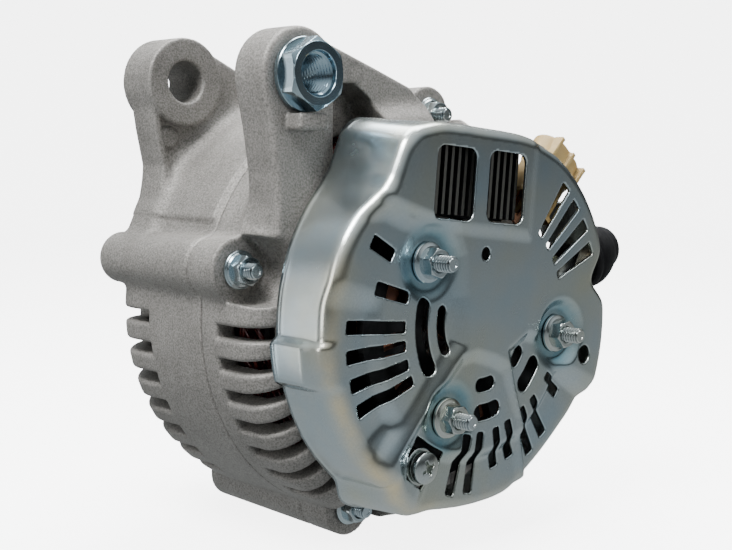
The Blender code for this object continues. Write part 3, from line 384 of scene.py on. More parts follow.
def turned(profile, steps=96, centre=(0.0, 0.0)):
    """Points and faces of a closed profile of (r, y) points turned about an axis along Y."""
    rows = [*profile, profile[0]]
    return np.concatenate([circle(r, y, centre, steps) for r, y in rows]), grid_faces(len(rows), steps)


def vertices_of(node):
    """A CAD node's vertices in millimetres."""
    return np.array([v.co for v in bpy.data.objects[node].data.vertices]) / MM


# ---------------------------------------------------------------- solids from distances

def smin(a, b, k):
    """Union with a fillet of about k millimetres."""
    h = np.clip(0.5 + 0.5 * (b - a) / k, 0.0, 1.0)
    return b + (a - b) * h - k * h * (1.0 - h)


def smax(a, b, k):
    """Intersection, or a cut, with its edge rounded by about k millimetres."""
    return -smin(-a, -b, k)


def crossed(a, b, edge=0.0):
    """Inside both distances, with the corner between them rounded by edge."""
    a, b = a + edge, b + edge
    return np.minimum(np.maximum(a, b), 0) + np.hypot(np.maximum(a, 0), np.maximum(b, 0)) - edge


def between(value, low, high):
    """Distance to a range, negative inside it."""
    return np.abs(value - (low + high) / 2) - (high - low) / 2


def cylinder(p, r, y0, y1, centre=(0.0, 0.0), edge=0.0, r_end=None):
    """Distance to a cylinder along Y; it is a cone where r_end is given."""
    side = np.hypot(p[0] - centre[0], p[2] - centre[1])
    radius = r if r_end is None else r + (r_end - r) * np.clip((p[1] - y0) / (y1 - y0), 0, 1)
    return crossed(side - radius, between(p[1], y0, y1), edge)


def block(p, low, high, edge=0.0):
    """Distance to a box with rounded edges."""
    q = [between(p[i], low[i], high[i]) + edge for i in range(3)]
    outside = np.sqrt(sum(np.maximum(c, 0) ** 2 for c in q))
    return outside + np.minimum(np.maximum(np.maximum(q[0], q[1]), q[2]), 0) - edge


def polygon(u, v, points):
    """Distance in the plane to a polygon, negative inside."""
    best = np.full(np.shape(u), 1e9)
    sign = np.ones(np.shape(u))
    for i, (ax, ay) in enumerate(points):
        bx, by = points[i - 1]
        ex, ey = bx - ax, by - ay
        wx, wy = u - ax, v - ay
        t = np.clip((wx * ex + wy * ey) / (ex * ex + ey * ey), 0, 1)
        best = np.minimum(best, (wx - ex * t) ** 2 + (wy - ey * t) ** 2)
        above, below, left = v >= ay, v < by, ex * wy > ey * wx
        flip = (above & below & left) | (~above & ~below & ~left)
        sign = np.where(flip, -sign, sign)
    return sign * np.sqrt(best)


def slab(flat, p, y0, y1, edge=0.0):
    """Extrude a plane distance along Y."""
    return crossed(flat, between(p[1], y0, y1), edge)


def span(p):
    """Distance from the rotor's axis."""
    return np.hypot(p[0], p[2])


def bearing(x, z):
    """Angle round the rotor's axis in degrees."""
    return np.degrees(np.arctan2(z, x))


def vent_rows(p, rows, level, edge):
    """Radial slots in rows of (first angle, count): negative inside a slot."""
    r = span(p)
    angle = bearing(p[0], p[2])
    cut = np.full(r.shape, 1e9)
    for start, count in rows:
        turn = (angle - start + 180.0) % 360.0 - 180.0
        turn = np.where(turn < -60.0, turn + 360.0, turn)
        k = np.clip(np.round(turn / VENT_PITCH_DEG), 0, count - 1)
        side = np.abs(np.radians(turn - VENT_PITCH_DEG * k)) * r - VENT_HALF_WIDTH
        cut = np.minimum(cut, smax(smax(side, VENT_INNER_R - r, edge), level, edge))
    return cut


def mesh_distance(distance, low, high, voxel, relax=2):
    """Mesh the surface of a distance function: blocks near it are sampled, one point is put in
    each cell it crosses, and the points are then drawn onto the surface itself."""
    low = np.array(low, float)
    size = 8
    counts = np.ceil((np.array(high) - low) / (voxel * size)).astype(int)
    blocks = np.indices(counts).reshape(3, -1)
    middle = low[:, None] + (blocks + 0.5) * voxel * size
    reach = voxel * size * 0.9 + 1.0
    value = np.concatenate([distance(middle[:, i:i + 200000])
                            for i in range(0, middle.shape[1], 200000)])
    field = np.repeat(np.repeat(np.repeat(value.reshape(counts), size, 0), size, 1), size, 2)
    near = np.abs(value) < reach
    local = np.indices((size,) * 3).reshape(3, 1, -1)
    cells = (blocks[:, near][:, :, None] * size + local).reshape(3, -1)
    points = low[:, None] + cells * voxel
    field[tuple(cells)] = np.concatenate([distance(points[:, i:i + 400000])
                                          for i in range(0, points.shape[1], 400000)])
    inside = field < 0
    shape = np.array(field.shape) - 1
    total = np.zeros(shape, np.int8)
    corners = [(i, j, k) for i in (0, 1) for j in (0, 1) for k in (0, 1)]
    for i, j, k in corners:
        total += inside[i:shape[0] + i, j:shape[1] + j, k:shape[2] + k]
    cell = np.array(np.nonzero((total > 0) & (total < 8)))
    at = {c: field[cell[0] + c[0], cell[1] + c[1], cell[2] + c[2]] for c in corners}
    place_sum, crossings = np.zeros(cell.shape), np.zeros(cell.shape[1])
    for a in corners:
        for axis in range(3):
            if a[axis]:
                continue
            b = tuple(1 if n == axis else a[n] for n in range(3))
            hit = (at[a] < 0) != (at[b] < 0)
            t = np.where(hit, at[a] / np.where(hit, at[a] - at[b], 1.0), 0.0)
            for n in range(3):
                place_sum[n] += hit * (a[n] + (t if n == axis else 0.0))
            crossings += hit
    verts = low[:, None] + (cell + place_sum / crossings) * voxel
    index = np.full(shape, -1)
    index[tuple(cell)] = np.arange(cell.shape[1])
    faces = []
    for axis in range(3):
        u, v = (axis + 1) % 3, (axis + 2) % 3
        step = np.eye(3, dtype=int)[axis]
        grown = [slice(None)] * 3
        shrunk = [slice(None)] * 3
        grown[axis], shrunk[axis] = slice(1, None), slice(None, -1)
        change = inside[tuple(shrunk)] != inside[tuple(grown)]
        edge = np.array(np.nonzero(change))
        edge = edge[:, (edge[u] > 0) & (edge[v] > 0) & (edge[u] < shape[u]) & (edge[v] < shape[v])]
        start_in = inside[tuple(edge)]
        quad = []
        for du, dv in ((0, 0), (-1, 0), (-1, -1), (0, -1)):
            c = edge.copy()
            c[u] += du
            c[v] += dv
            quad.append(index[tuple(c)])
        quad = np.array(quad).T
        quad[~start_in] = quad[~start_in][:, ::-1]
        faces.append(quad[(quad >= 0).all(1)])
    faces = np.concatenate(faces)
    pairs = np.concatenate([faces[:, [i, (i + 1) % 4]] for i in range(4)])
    for step in range(relax + 1):
        if step:
            sums, number = np.zeros(verts.shape), np.zeros(verts.shape[1])
            for n in range(3):
                sums[n] = np.bincount(pairs[:, 0], verts[n][pairs[:, 1]], verts.shape[1])
            number = np.bincount(pairs[:, 0], minlength=verts.shape[1])
            verts = 0.5 * verts + 0.5 * sums / np.maximum(number, 1)
        for _ in range(2):
            verts = pull_to_surface(distance, verts, voxel)
    return verts.T, faces


def pull_to_surface(distance, p, voxel):
    """One Newton step along the distance function's slope."""
    e = 0.05
    signs = np.array([(1, -1, -1), (-1, -1, 1), (-1, 1, -1), (1, 1, 1)])
    taps = [distance(p + e * s[:, None]) for s in signs]
    slope = sum(s[:, None] * t for s, t in zip(signs, taps)) / (4 * e)
    value = sum(taps) / 4
    step = value / np.maximum((slope ** 2).sum(0), 0.2)
    return p - np.clip(step, -voxel, voxel) * slope


# ---------------------------------------------------------------- castings

EAR_FLANK = [(-58.2, 36.0), (-58.6, 45.0), (-60.6, 58.0)]
EAR_SHAPE = ([(EAR[0] + 14.0 * math.cos(math.radians(a)), EAR[1] + 14.0 * math.sin(math.radians(a)))
              for a in range(188, 19, -8)]
             + [(-36.2, 64.0), (-36.0, 50.0), (-44.0, 36.0), (-52.0, 24.0), (-58.5, 27.0)] + EAR_FLANK)
PLATE_SHAPE = [(-58.0, 76.0), (-45.0, 86.0), (-37.9, 84.5), (-14.5, 76.4), (0.0, 71.2), (4.2, 67.8),
               (10.0, 58.0), (-20.0, 52.0), (-36.0, 42.0)]
FRONT_WEB_SHAPE = [(-62.8, 75.0), (-56.0, 85.4), (-44.0, 86.0), (-30.0, 79.5), (-8.0, 69.0),
                   (0.0, 60.0), (-40.0, 30.0), (-62.0, 17.0), (-66.0, 20.0), (-61.6, 29.0),
                   (-58.4, 36.0), (-57.8, 46.6), (-60.2, 58.0)]
ARCH_SHAPE = [(-36.4, 50.5), (-36.2, 66.0), (-31.0, 70.5), (-24.0, 70.6), (-18.0, 66.5), (-14.8, 60.0),
              (-15.0, 54.0), (-20.0, 50.6), (-27.0, 48.9)]


def wedge(p, middle, half_deg, r0, r1):
    """A ring's sector in the plane, negative inside."""
    r = span(p)
    angle = (bearing(p[0], p[2]) - middle + 180.0) % 360.0 - 180.0
    side = (np.abs(np.radians(angle)) - math.radians(half_deg)) * r
    return smax(smax(side, r0 - r, 3.0), r - r1, 3.0)


def arc_window(p, low, high, soft=2.0):
    """From 0 to 1 and back over a range of angles in degrees."""
    angle = bearing(p[0], p[2]) % 360.0
    return np.clip((angle - low) / soft, 0, 1) * np.clip((high - angle) / soft, 0, 1)


def rear_distance(p):
    """The rear housing: barrel, ear, web, bosses, cups round the nuts, hollow inside and vents."""
    r, y = span(p), p[1]
    step = 1.0 * arc_window(p, 110.0, 155.0) * np.clip((41.6 - y) / 0.5, 0, 1)
    body = crossed(r - (BODY_R - step - BARREL_BEND), (27.0 + BARREL_BEND) - y) - BARREL_BEND
    body = smax(body, y - (SEAM - 0.15), 0.5)
    body = smin(body, cylinder(p, 21.0, 25.0, 40.0, edge=0.8), 1.0)
    for c in BOLTS:
        body = smin(body, cylinder(p, 9.6, 35.0, SEAM - 0.15, c, 0.5, 9.2), 2.2)
    ear = slab(polygon(p[0], p[2], EAR_SHAPE), p, 27.6, 42.0, 1.6)
    plate = slab(polygon(p[0], p[2], PLATE_SHAPE), p, 33.0, 47.0, 1.4)
    plate = smax(plate, -block(p, (-70.0, 42.0, 48.0), (-37.5, 60.0, 95.0), 1.0), 1.0)
    body = smin(smin(body, ear, 4.0), plate, 3.0)
    body = smin(body, block(p, (EAR[0] - 6.0, 21.0, 57.0), (EAR[0] + 4.8, 31.0, 62.0), 1.1), 0.8)
    for c in (*STUDS, SCREW):
        body = smin(body, cylinder(p, 6.0, 24.0, 32.0, c, 0.5), 1.0)
    mark = np.abs(np.hypot(p[0] + 23.0, p[2] - 74.0) - 2.9) - 0.45
    body = smax(body, -np.maximum(mark, np.abs(y - 33.0) - 0.35), 0.3)
    cavity = polygon(r, y, [(-5.0, 41.0), (21.0, 41.0), (21.0, 32.0), (55.5, 32.0), (59.5, 36.0),
                            (59.5, 50.3), (60.8, 50.3), (60.8, 60.0), (-5.0, 60.0)])
    cut = np.minimum(cavity, cylinder(p, 16.3, 20.0, 38.8))
    cut = np.minimum(cut, cylinder(p, 13.5, 20.0, 43.0))
    cut = np.minimum(cut, slab(polygon(p[0], p[2], ARCH_SHAPE) - 1.0, p, 10.0, 44.0, 1.0))
    cups, seats = np.full(r.shape, 1e9), np.full(r.shape, 1e9)
    for c in BOLTS:
        cups = np.minimum(cups, np.maximum(cylinder(p, 11.7, 30.0, 42.8, c, 0.6), r - 63.0))
        seats = np.minimum(seats, cylinder(p, 10.2, 10.0, 41.0, c, 0.4))
        seats = np.minimum(seats, cylinder(p, BOLT_HOLE_R, 30.0, 60.0, c))
    for c in STUDS:
        cut = np.minimum(cut, cylinder(p, BOLT_HOLE_R, 20.0, 31.3, c))
    cut = np.minimum(cut, cylinder(p, 2.3, 20.0, 31.3, SCREW))
    cut = np.minimum(cut, cylinder(p, 8.3, 15.0, 60.0, EAR))
    for a in (22.0, 60.0, 98.0, 170.0, 205.0, 275.0):
        cut = np.minimum(cut, slab(wedge(p, a, 9.0, 25.5, 46.0), p, 20.0, 32.5))
    body = smax(np.minimum(smax(body, -cut, 0.7), cups), -seats, 0.5)
    rows = ((181.3, 7), (268.5, 8), (36.8, 3))
    level = np.maximum(y - 46.5, 26.0 - y)
    return smax(body, -vent_rows(p, rows, level, 0.3), 1.3)


def front_distance(p):
    """The front housing: barrel, bearing hub, ear, web, bosses, hollow inside, windows and vents."""
    r, y = span(p), p[1]
    pad = 1.1 * arc_window(p, 100.0, 153.6, 0.5) * np.clip((y - 55.6) / 0.5, 0, 1)
    body = crossed(r - (BODY_R + pad - BARREL_BEND), y - (103.0 - BARREL_BEND)) - BARREL_BEND
    body = smax(body, (SEAM + 0.15) - y, 0.5)
    body = smin(body, cylinder(p, 29.5, 90.0, 107.5, edge=1.0), 2.5)
    lug = cylinder(p, 14.0, 84.6, 100.0, EAR, 0.8)
    lug = smin(lug, cylinder(p, 10.3, 96.0, 104.5, EAR, 0.6), 1.0)
    flat = polygon(p[0], p[2], FRONT_WEB_SHAPE)
    web = slab(flat, p, 88.0, 98.0, 1.5)
    rim = slab(np.maximum(np.maximum(flat, -2.6 - flat), p[0] + 50.0), p, 86.0, 98.0, 1.0)
    disc = cylinder(p, 3.4, 87.2, 92.0, (-54.0, 55.4), 0.2)
    web = np.minimum(smin(web, rim, 0.8), disc)
    body = smin(body, smin(web, lug, 0.9), 6.5)
    for c in BOLTS:
        body = smin(body, cylinder(p, 9.2, SEAM + 0.15, 105.0, c, 2.4, 8.2), 2.2)
    cavity = polygon(r, y, [(-5.0, 50.0), (60.8, 50.0), (60.8, 80.3), (59.5, 80.3), (59.5, 93.0),
                            (55.0, 98.0), (26.0, 98.0), (26.0, 92.0), (-5.0, 92.0)])
    cut = np.minimum(cavity, cylinder(p, 21.3, 88.0, 105.3))
    cut = np.minimum(cut, cylinder(p, 13.5, 88.0, 112.0))
    cut = np.minimum(cut, cylinder(p, 6.6, 70.0, 120.0, EAR))
    for c in BOLTS:
        cut = np.minimum(cut, cylinder(p, BOLT_HOLE_R, 50.0, 112.0, c))
    angle = bearing(p[0], p[2])
    k = np.round((angle - 15.0) / 45.0) * 45.0 + 15.0
    side = (np.abs(np.radians(angle - k)) - math.radians(10.0)) * r
    windows = smax(smax(side, 34.5 - r, 4.0), r - 49.5, 4.0)
    cut = np.minimum(cut, slab(windows, p, 90.0, 112.0))
    body = smax(body, -cut, 0.9)
    rows = ((180.7, 7), (267.9, 8), (1.4, 7))
    return smax(body, -vent_rows(p, rows, 82.0 - y, 0.5), 1.3)


def make_castings():
    for name, distance in (("rear_housing", rear_distance), ("front_housing", front_distance)):
        _, low, high = place(name)
        voxel = CAST_VOXEL * 1.0
        verts, faces = mesh_distance(distance, low - 2.5, high + 2.5, voxel)
        stand_in(name + "_casting", verts, faces, name, turn_out=False)


# ---------------------------------------------------------------- pressed cover

COVER_SHEET = 1.2
COVER_DEPTH = 25.0
RIM = [  # angle and radius of the skirt's free edge
    (-24, 61.3), (-10, 61.3), (1, 61.2), (5, 58.2), (9, 56.2), (12.5, 57.2), (17, 61.2), (26, 61.3),
    (38, 61.2), (50, 60.8), (55, 60.5), (60, 59.9), (65, 59.4), (70, 58.9), (75, 58.4), (80, 57.9),
    (86, 57.8), (91.5, 58.2), (97, 59.2), (103.2, 61.2), (107, 63.1), (113, 65.9), (117.3, 68.2),
    (122.2, 68.0), (127, 64.4), (131.9, 61.6), (138, 60.9), (150, 61.3), (170, 61.3), (190, 61.0),
    (205, 60.8), (222, 60.7), (230.5, 60.7), (233, 63.8), (235.3, 65.1), (239.5, 64.8), (243, 63.8),
    (245.8, 62.8), (250, 60.2), (253.6, 59.1), (260.5, 58.4), (267.7, 58.2), (275, 58.4), (282.3, 59.0),
    (286.5, 59.3), (294, 58.2), (302, 57.8), (309.5, 57.9), (316.6, 58.5), (323.6, 59.9), (330, 60.9),
    (336, 61.3)]
TOP_EASE = [  # how far the bend's edge stands inside the free edge
    (-24, 0), (4, 1.5), (9, 3.0), (14, 1.5), (20, 0), (100, 0), (110, 1.0), (117, 2.6), (122, 3.4),
    (127, 2.6), (133, 2.4), (139, 2.2), (146, 1.0), (154, 0), (228, 0), (233, 2.6), (238, 2.4),
    (243, 0.6), (247, 0), (336, 0)]
SKIRT_END = [  # depth of the skirt: it is cut away round the connector and the terminal
    (-24, 25), (6, 25), (7.2, 9), (18.8, 9), (20, 25), (33.5, 25), (34.5, 6.5), (59.5, 6.5),
    (60.5, 25), (336, 25)]
BENDS = [  # radius of the bend between face and skirt
    (-24, 3.4), (30, 3.0), (95, 3.6), (150, 3.8), (180, 4.2), (200, 5.4), (240, 5.6), (250, 3.4),
    (275, 3.2), (336, 3.2)]


def around(table, deg, blur=1.3):
    """Read a table of (angle, value) round the circle, with its corners softened."""
    fine = np.arange(0.0, 360.0, 0.25)
    at = np.array([a for a, _ in table], float)
    values = np.interp(fine, np.concatenate([at - 360, at, at + 360]),
                       np.tile([v for _, v in table], 3))
    if blur:
        width = int(blur * 12)
        kernel = np.exp(-0.5 * (np.arange(-width, width + 1) * 0.25 / blur) ** 2)
        padded = np.concatenate([values[-width:], values, values[:width]])
        values = np.convolve(padded, kernel / kernel.sum(), "valid")
    return np.interp(np.mod(deg, 360.0), np.append(fine, 360.0), np.append(values, values[0]))


def bulge(deg):
    """The pressed block on the skirt's left side."""
    d = np.mod(deg, 360.0)
    return 2.5 * soft((d - 180.4) / 2.6) * soft((195.6 - d) / 3.2)


def skirt_r(deg, share):
    """The skirt's radius at an angle, from the bend (share 0) to the free edge (share 1)."""
    ease = around(TOP_EASE, deg, 2.0) * (1 - share) ** 1.2
    fade = 0.55 + 0.45 * np.clip(share * 4.0, 0, 1)
    return around(RIM, deg) - ease + bulge(deg) * fade


def soft(value):
    """A smooth step from 0 to 1 over the same range."""
    t = np.clip(value, 0, 1)
    return t * t * (3 - 2 * t)


LEFT_PAN = [(-40.5, 35.0), (-33.0, 32.0), (-25.0, 30.5), (-15.5, 29.0), (-11.8, 20.0), (-10.6, 8.0),
            (-10.8, -6.0), (-15.2, -9.4), (-29.5, -25.0), (-35.5, -31.0), (-46.0, -41.0), (-60.0, -34.0),
            (-70.0, -20.0), (-70.0, 28.0), (-56.0, 33.0), (-48.5, 35.0)]
LOWER_PAN = [(-9.5, -11.0), (-4.0, -10.2), (4.0, -12.6), (10.4, -15.6), (17.4, -32.0), (22.0, -60.0),
             (-10.0, -66.0), (-30.0, -62.0), (-34.0, -47.0), (-35.0, -37.0), (-27.5, -28.0)]
RIGHT_PAN = [(11.6, -10.6), (20.0, -6.5), (27.0, -8.4), (34.0, -16.0), (42.0, -23.5), (54.0, -31.0),
             (36.0, -60.0), (24.0, -58.0), (20.6, -40.0), (14.4, -22.0)]
WINDOW_BOX = [(-26.0, 75.0), (-48.0, 44.0), (-40.0, 37.0), (-30.0, 33.6), (-19.6, 30.2), (-8.0, 28.0),
              (6.0, 26.4), (19.0, 24.8), (20.6, 40.0), (22.6, 56.0), (24.0, 75.0)]
WINDOWS = [(-14.8, 41.8), (7.7, 40.0)]
WINDOW_HALF = (8.6, 10.8)
WINDOW_CORNER = 3.2
WINDOW_TILT = math.radians(5.5)
SLOT_CORNER = 0.9
SLOTS = [  # inner radius and angle, outer radius and angle, inner and outer width
    (32.2, 178.4, 54.2, 177.2, 3.5, 4.1), (32.4, 188.0, 54.4, 186.3, 3.4, 4.1),
    (32.6, 197.8, 54.4, 195.2, 3.4, 4.4), (32.8, 206.9, 54.4, 203.8, 3.4, 4.5),
    (32.4, 163.6, 46.3, 163.5, 3.7, 4.2), (43.0, 150.0, 53.0, 150.0, 4.1, 4.4),
    (34.8, 260.8, 54.0, 257.8, 3.5, 4.2), (34.3, 269.8, 53.6, 266.5, 3.5, 4.2),
    (34.5, 281.3, 48.2, 280.6, 3.4, 4.0), (34.6, 290.5, 48.2, 289.6, 3.4, 4.0),
    (35.0, 303.1, 53.0, 300.2, 3.2, 4.1), (36.0, 312.4, 52.6, 309.2, 3.2, 4.2),
    (37.0, 326.6, 49.0, 325.0, 3.2, 4.0),
    (34.8, 44.8, 55.1, 46.5, 2.7, 4.9), (35.0, 36.1, 55.0, 38.4, 2.7, 4.9),
    (35.2, 27.3, 55.4, 29.7, 2.7, 4.9), (35.4, 19.0, 54.8, 20.9, 2.7, 4.9)]
ARCS = [(25.9, 160.0, 213.0, 2.8), (17.9, 160.5, 209.0, 1.9), (19.9, 262.0, 287.5, 2.2),
        (28.4, 263.3, 287.5, 2.6), (21.0, 312.0, 332.0, 2.1), (29.5, 307.0, 332.0, 2.9)]
HOLES = [(*c, BOLT_HOLE_R) for c in STUDS] + [(-0.5, 20.4, 2.1), (48.0, -15.4, 3.1)]
CUTOUT = [(-31.3, -43.2), (-24.6, -47.9), (-16.2, -41.4), (-16.4, -38.8), (-27.5, -32.3), (-30.6, -36.9)]


def holes_distance(x, z):
    """Distance in the face to its nearest hole's edge, negative inside the hole."""
    best = np.full(np.shape(x), 1e9)
    for r0, a0, r1, a1, w0, w1 in SLOTS:
        r1 = min(r1, skirt_r(a1, 0.0) - around(BENDS, a1) - 0.8)
        (ax, az), (bx, bz) = polar(r0, a0), polar(r1, a1)
        length = math.hypot(bx - ax, bz - az)
        ux, uz = (bx - ax) / length, (bz - az) / length
        t = (x - ax) * ux + (z - az) * uz
        side = np.abs((z - az) * ux - (x - ax) * uz)
        half = (w0 + (w1 - w0) * np.clip(t / length, 0, 1)) / 2
        best = np.minimum(best, crossed(side - half, np.abs(t - length / 2) - length / 2, SLOT_CORNER))
    angle = bearing(x, z) % 360.0
    for radius, a0, a1, half in ARCS:
        near = np.clip(angle, a0 + math.degrees(half / radius), a1 - math.degrees(half / radius))
        cx, cz = polar(radius, near)
        best = np.minimum(best, np.hypot(x - cx, z - cz) - half)
    for cx, cz in WINDOWS:
        c, s = math.cos(WINDOW_TILT), math.sin(WINDOW_TILT)
        u, v = (x - cx) * c - (z - cz) * s, (x - cx) * s + (z - cz) * c
        window = crossed(np.abs(u) - WINDOW_HALF[0], np.abs(v) - WINDOW_HALF[1], WINDOW_CORNER)
        best = np.minimum(best, window)
    for cx, cz, radius in HOLES:
        best = np.minimum(best, np.hypot(x - cx, z - cz) - radius)
    return np.minimum(best, polygon(x, z, CUTOUT) - 0.8)


def face_height(x, z):
    """How deep the cover's face is pressed in at a point, in millimetres towards +Y."""
    r, angle = np.hypot(x, z), bearing(x, z) % 360.0

    def window(low, high, fade):
        return soft((angle - low) / fade + 0.5) * soft((high - angle) / fade + 0.5)

    def pan(shape, depth, width):
        return depth * soft(0.5 - polygon(x, z, shape) / width)

    h = pan(LEFT_PAN, 2.0, 7.5)
    h = np.maximum(h, pan(LOWER_PAN, 1.9, 5.0))
    h = np.maximum(h, pan(RIGHT_PAN, 2.2, 4.4))
    ring = window(168.0, 217.0, 9.0) * 1.6 * soft((r - 41.6) / 6.0)
    ring = np.maximum(ring, window(243.0, 333.0, 8.0) * 2.7 * soft((r - 39.6) / 5.0))
    h = h + ring
    h = h - pan(WINDOW_BOX, 0.9, 4.6)
    h = h + 0.9 * np.exp(-(((x + 41.5) / 7.5) ** 2 + ((z + 27.0) / 7.5) ** 2))
    for cx, cz in STUDS:
        pocket = soft((12.2 - np.hypot(x - cx, z - cz)) / 4.4)
        h = h + (3.0 - h) * pocket
    return h


def face_mesh():
    """Triangles over the cover's face, their edges lying on the outline and on every hole."""
    step = FACE_STEP * 1.0
    rise = step * math.sqrt(3) / 2

    def domain(x, z):
        angle = bearing(x, z)
        outer = np.hypot(x, z) - (skirt_r(angle, 0.0) - around(BENDS, angle))
        return np.maximum(outer, -holes_distance(x, z))

    rows, columns = int(142 / rise), int(142 / step)
    i, j = np.mgrid[0:rows, 0:columns]
    x = (-70.0 + (j + 0.5 * (i % 2)) * step).ravel()
    z = (-70.0 + i * rise).ravel()
    f = domain(x, z)
    e = 0.02

    def pull(x, z, f):
        gx = (domain(x + e, z) - domain(x - e, z)) / (2 * e)
        gz = (domain(x, z + e) - domain(x, z - e)) / (2 * e)
        n = np.maximum(gx * gx + gz * gz, 0.25)
        return x - f * gx / n, z - f * gz / n

    near = np.abs(f) < 0.36 * step
    for _ in range(3):
        x[near], z[near] = pull(x[near], z[near], domain(x[near], z[near]))
    f[near] = 0.0
    at = (i * columns + j)
    even = (i[:-1, :-1] % 2 == 0).ravel()
    a, b = at[:-1, :-1].ravel(), at[:-1, 1:].ravel()
    c, d = at[1:, :-1].ravel(), at[1:, 1:].ravel()
    tri = np.concatenate([
        np.stack([a, b, np.where(even, c, d)], 1),
        np.stack([np.where(even, b, a), d, c], 1)])
    sign = f[tri]
    some = (sign < 0).any(1)
    whole = some & (sign <= 0).all(1)
    cuts = {}
    new_x, new_z, faces = [], [], [tuple(t) for t in tri[whole]]

    def crossing(p, q):
        key = (min(p, q), max(p, q))
        if key not in cuts:
            t = f[p] / (f[p] - f[q])
            cuts[key] = len(x) + len(new_x)
            new_x.append(x[p] + t * (x[q] - x[p]))
            new_z.append(z[p] + t * (z[q] - z[p]))
        return cuts[key]

    for t in tri[some & ~whole]:
        shape = []
        for n in range(3):
            p, q = t[n], t[(n + 1) % 3]
            if f[p] <= 0:
                shape.append(p)
            if f[p] * f[q] < 0:
                shape.append(crossing(p, q))
        faces.append(tuple(shape))
    new_x, new_z = np.array(new_x), np.array(new_z)
    for _ in range(2):
        new_x, new_z = pull(new_x, new_z, domain(new_x, new_z))
    x, z = np.concatenate([x, new_x]), np.concatenate([z, new_z])
    used = np.unique(np.concatenate([np.array(s) for s in faces]))
    renumber = np.full(len(x), -1)
    renumber[used] = np.arange(len(used))
    return x[used], z[used], [tuple(int(renumber[v]) for v in s) for s in faces]


def outer_loop(x, z, faces):
    """The vertices of the outline, in order round the face."""
    ends = {}
    seen = set()
    for s in faces:
        for p, q in zip(s, (*s[1:], s[0])):
            seen.add((p, q))
    for p, q in seen:
        if (q, p) not in seen:
            ends[p] = q
    start = max(ends, key=lambda p: math.hypot(x[p], z[p]))
    loop, at = [start], ends[start]
    while at != start:
        loop.append(at)
        at = ends[at]
        if len(loop) > len(ends):
            raise RuntimeError("a hole touches the outline of the cover's face")
    return loop


def make_cover():
    """The pressed cover: its face, the bend and the skirt as one sheet, then given its thickness."""
    x, z, faces = face_mesh()
    loop = outer_loop(x, z, faces)
    deg = bearing(x, z)
    ring = np.array(loop)
    bend = around(BENDS, deg)
    edge_r = skirt_r(deg[ring], 0.0) - bend[ring]
    x[ring], z[ring] = polar(edge_r, deg[ring])
    y = face_height(x, z)
    start = y[ring]
    verts = [np.stack([x, y, z], 1)]
    depth = around(SKIRT_END, deg[ring], 0.0)
    stations = [("bend", t) for t in (0.17, 0.33, 0.5, 0.67, 0.83, 1.0)]
    stations += [("skirt", t) for t in np.linspace(0, 1, 17)[1:]]
    previous, total = ring, len(x)
    foot = start + bend[ring]
    depth = np.maximum(depth, foot + 0.6)
    for kind, t in stations:
        if kind == "bend":
            phi = t * np.pi / 2
            r = edge_r + bend[ring] * np.sin(phi)
            level = start + bend[ring] * (1 - np.cos(phi))
        else:
            level = foot + (depth - foot) * t
            share = (level - foot) / (COVER_DEPTH - foot)
            r = skirt_r(deg[ring], share)
            r = r + 0.45 * soft((share - 0.92) / 0.08) * (depth > 20)
        px, pz = polar(r, deg[ring])
        verts.append(np.stack([px, level, pz], 1))
        current = np.arange(total, total + len(ring))
        total += len(ring)
        nxt = np.roll(np.arange(len(ring)), -1)
        faces += [(int(previous[n]), int(current[n]), int(current[nxt[n]]), int(previous[nxt[n]]))
                  for n in range(len(ring))]
        previous = current
    verts = np.concatenate(verts)
    piece = stand_in("rear_cover_pressing", verts, faces, "rear_cover", cover_tones(verts), sharp_deg=50.0)
    face_y = np.sum([p.normal.y * p.area for p in piece.data.polygons])
    sheet = piece.modifiers.new("sheet", "SOLIDIFY")
    sheet.thickness = COVER_SHEET * MM
    sheet.offset = -1.0 if face_y < 0 else 1.0
    sheet.use_even_offset = True


def cover_tones(verts):
    """Vertex weights for painted light on the cover: a painted highlight in cream along the bends, stronger
    on the left side and partly the plating's yellow tint, and painted shade in dark teal-blue round the walls
    of the stud pockets.
    """
    x, y, z = verts.T
    deg = bearing(x, z) % 360.0
    foot = skirt_r(deg, 0.0)
    # painted highlight: a cream band along the bend, partly yellow plating tint, made stronger on the left
    # side where the skirt catches light
    bend = np.exp(-((np.hypot(x, z) - foot + 1.8) / 3.0) ** 2) * np.exp(-((y - 3.0) / 4.5) ** 2)
    left = 0.35 + 0.75 * np.clip((deg - 150.0) / 40.0, 0, 1) * np.clip((255.0 - deg) / 15.0, 0, 1)
    # painted shade: a dark teal-blue ring on the walls of the recessed stud pockets
    blue = np.zeros(len(x))
    for cx, cz in STUDS:
        blue = np.maximum(blue, np.exp(-((np.hypot(x - cx, z - cz) - 8.0) / 3.4) ** 2))
    return {"cream_highlight": bend * left, "blue": blue * (y < 6.0)}


# ---------------------------------------------------------------- fasteners

def hex_ring(flats, y, largest_r, centre, steps=72, turn=0.0):
    """A row of points round a hexagon, cut by the cone of its chamfer."""
    off = (np.degrees(np.arange(steps) * 2 * np.pi / steps) - turn + 30.0) % 60.0 - 30.0
    return circle(np.minimum(flats / 2 / np.cos(np.radians(off)), largest_r), y, centre, steps)


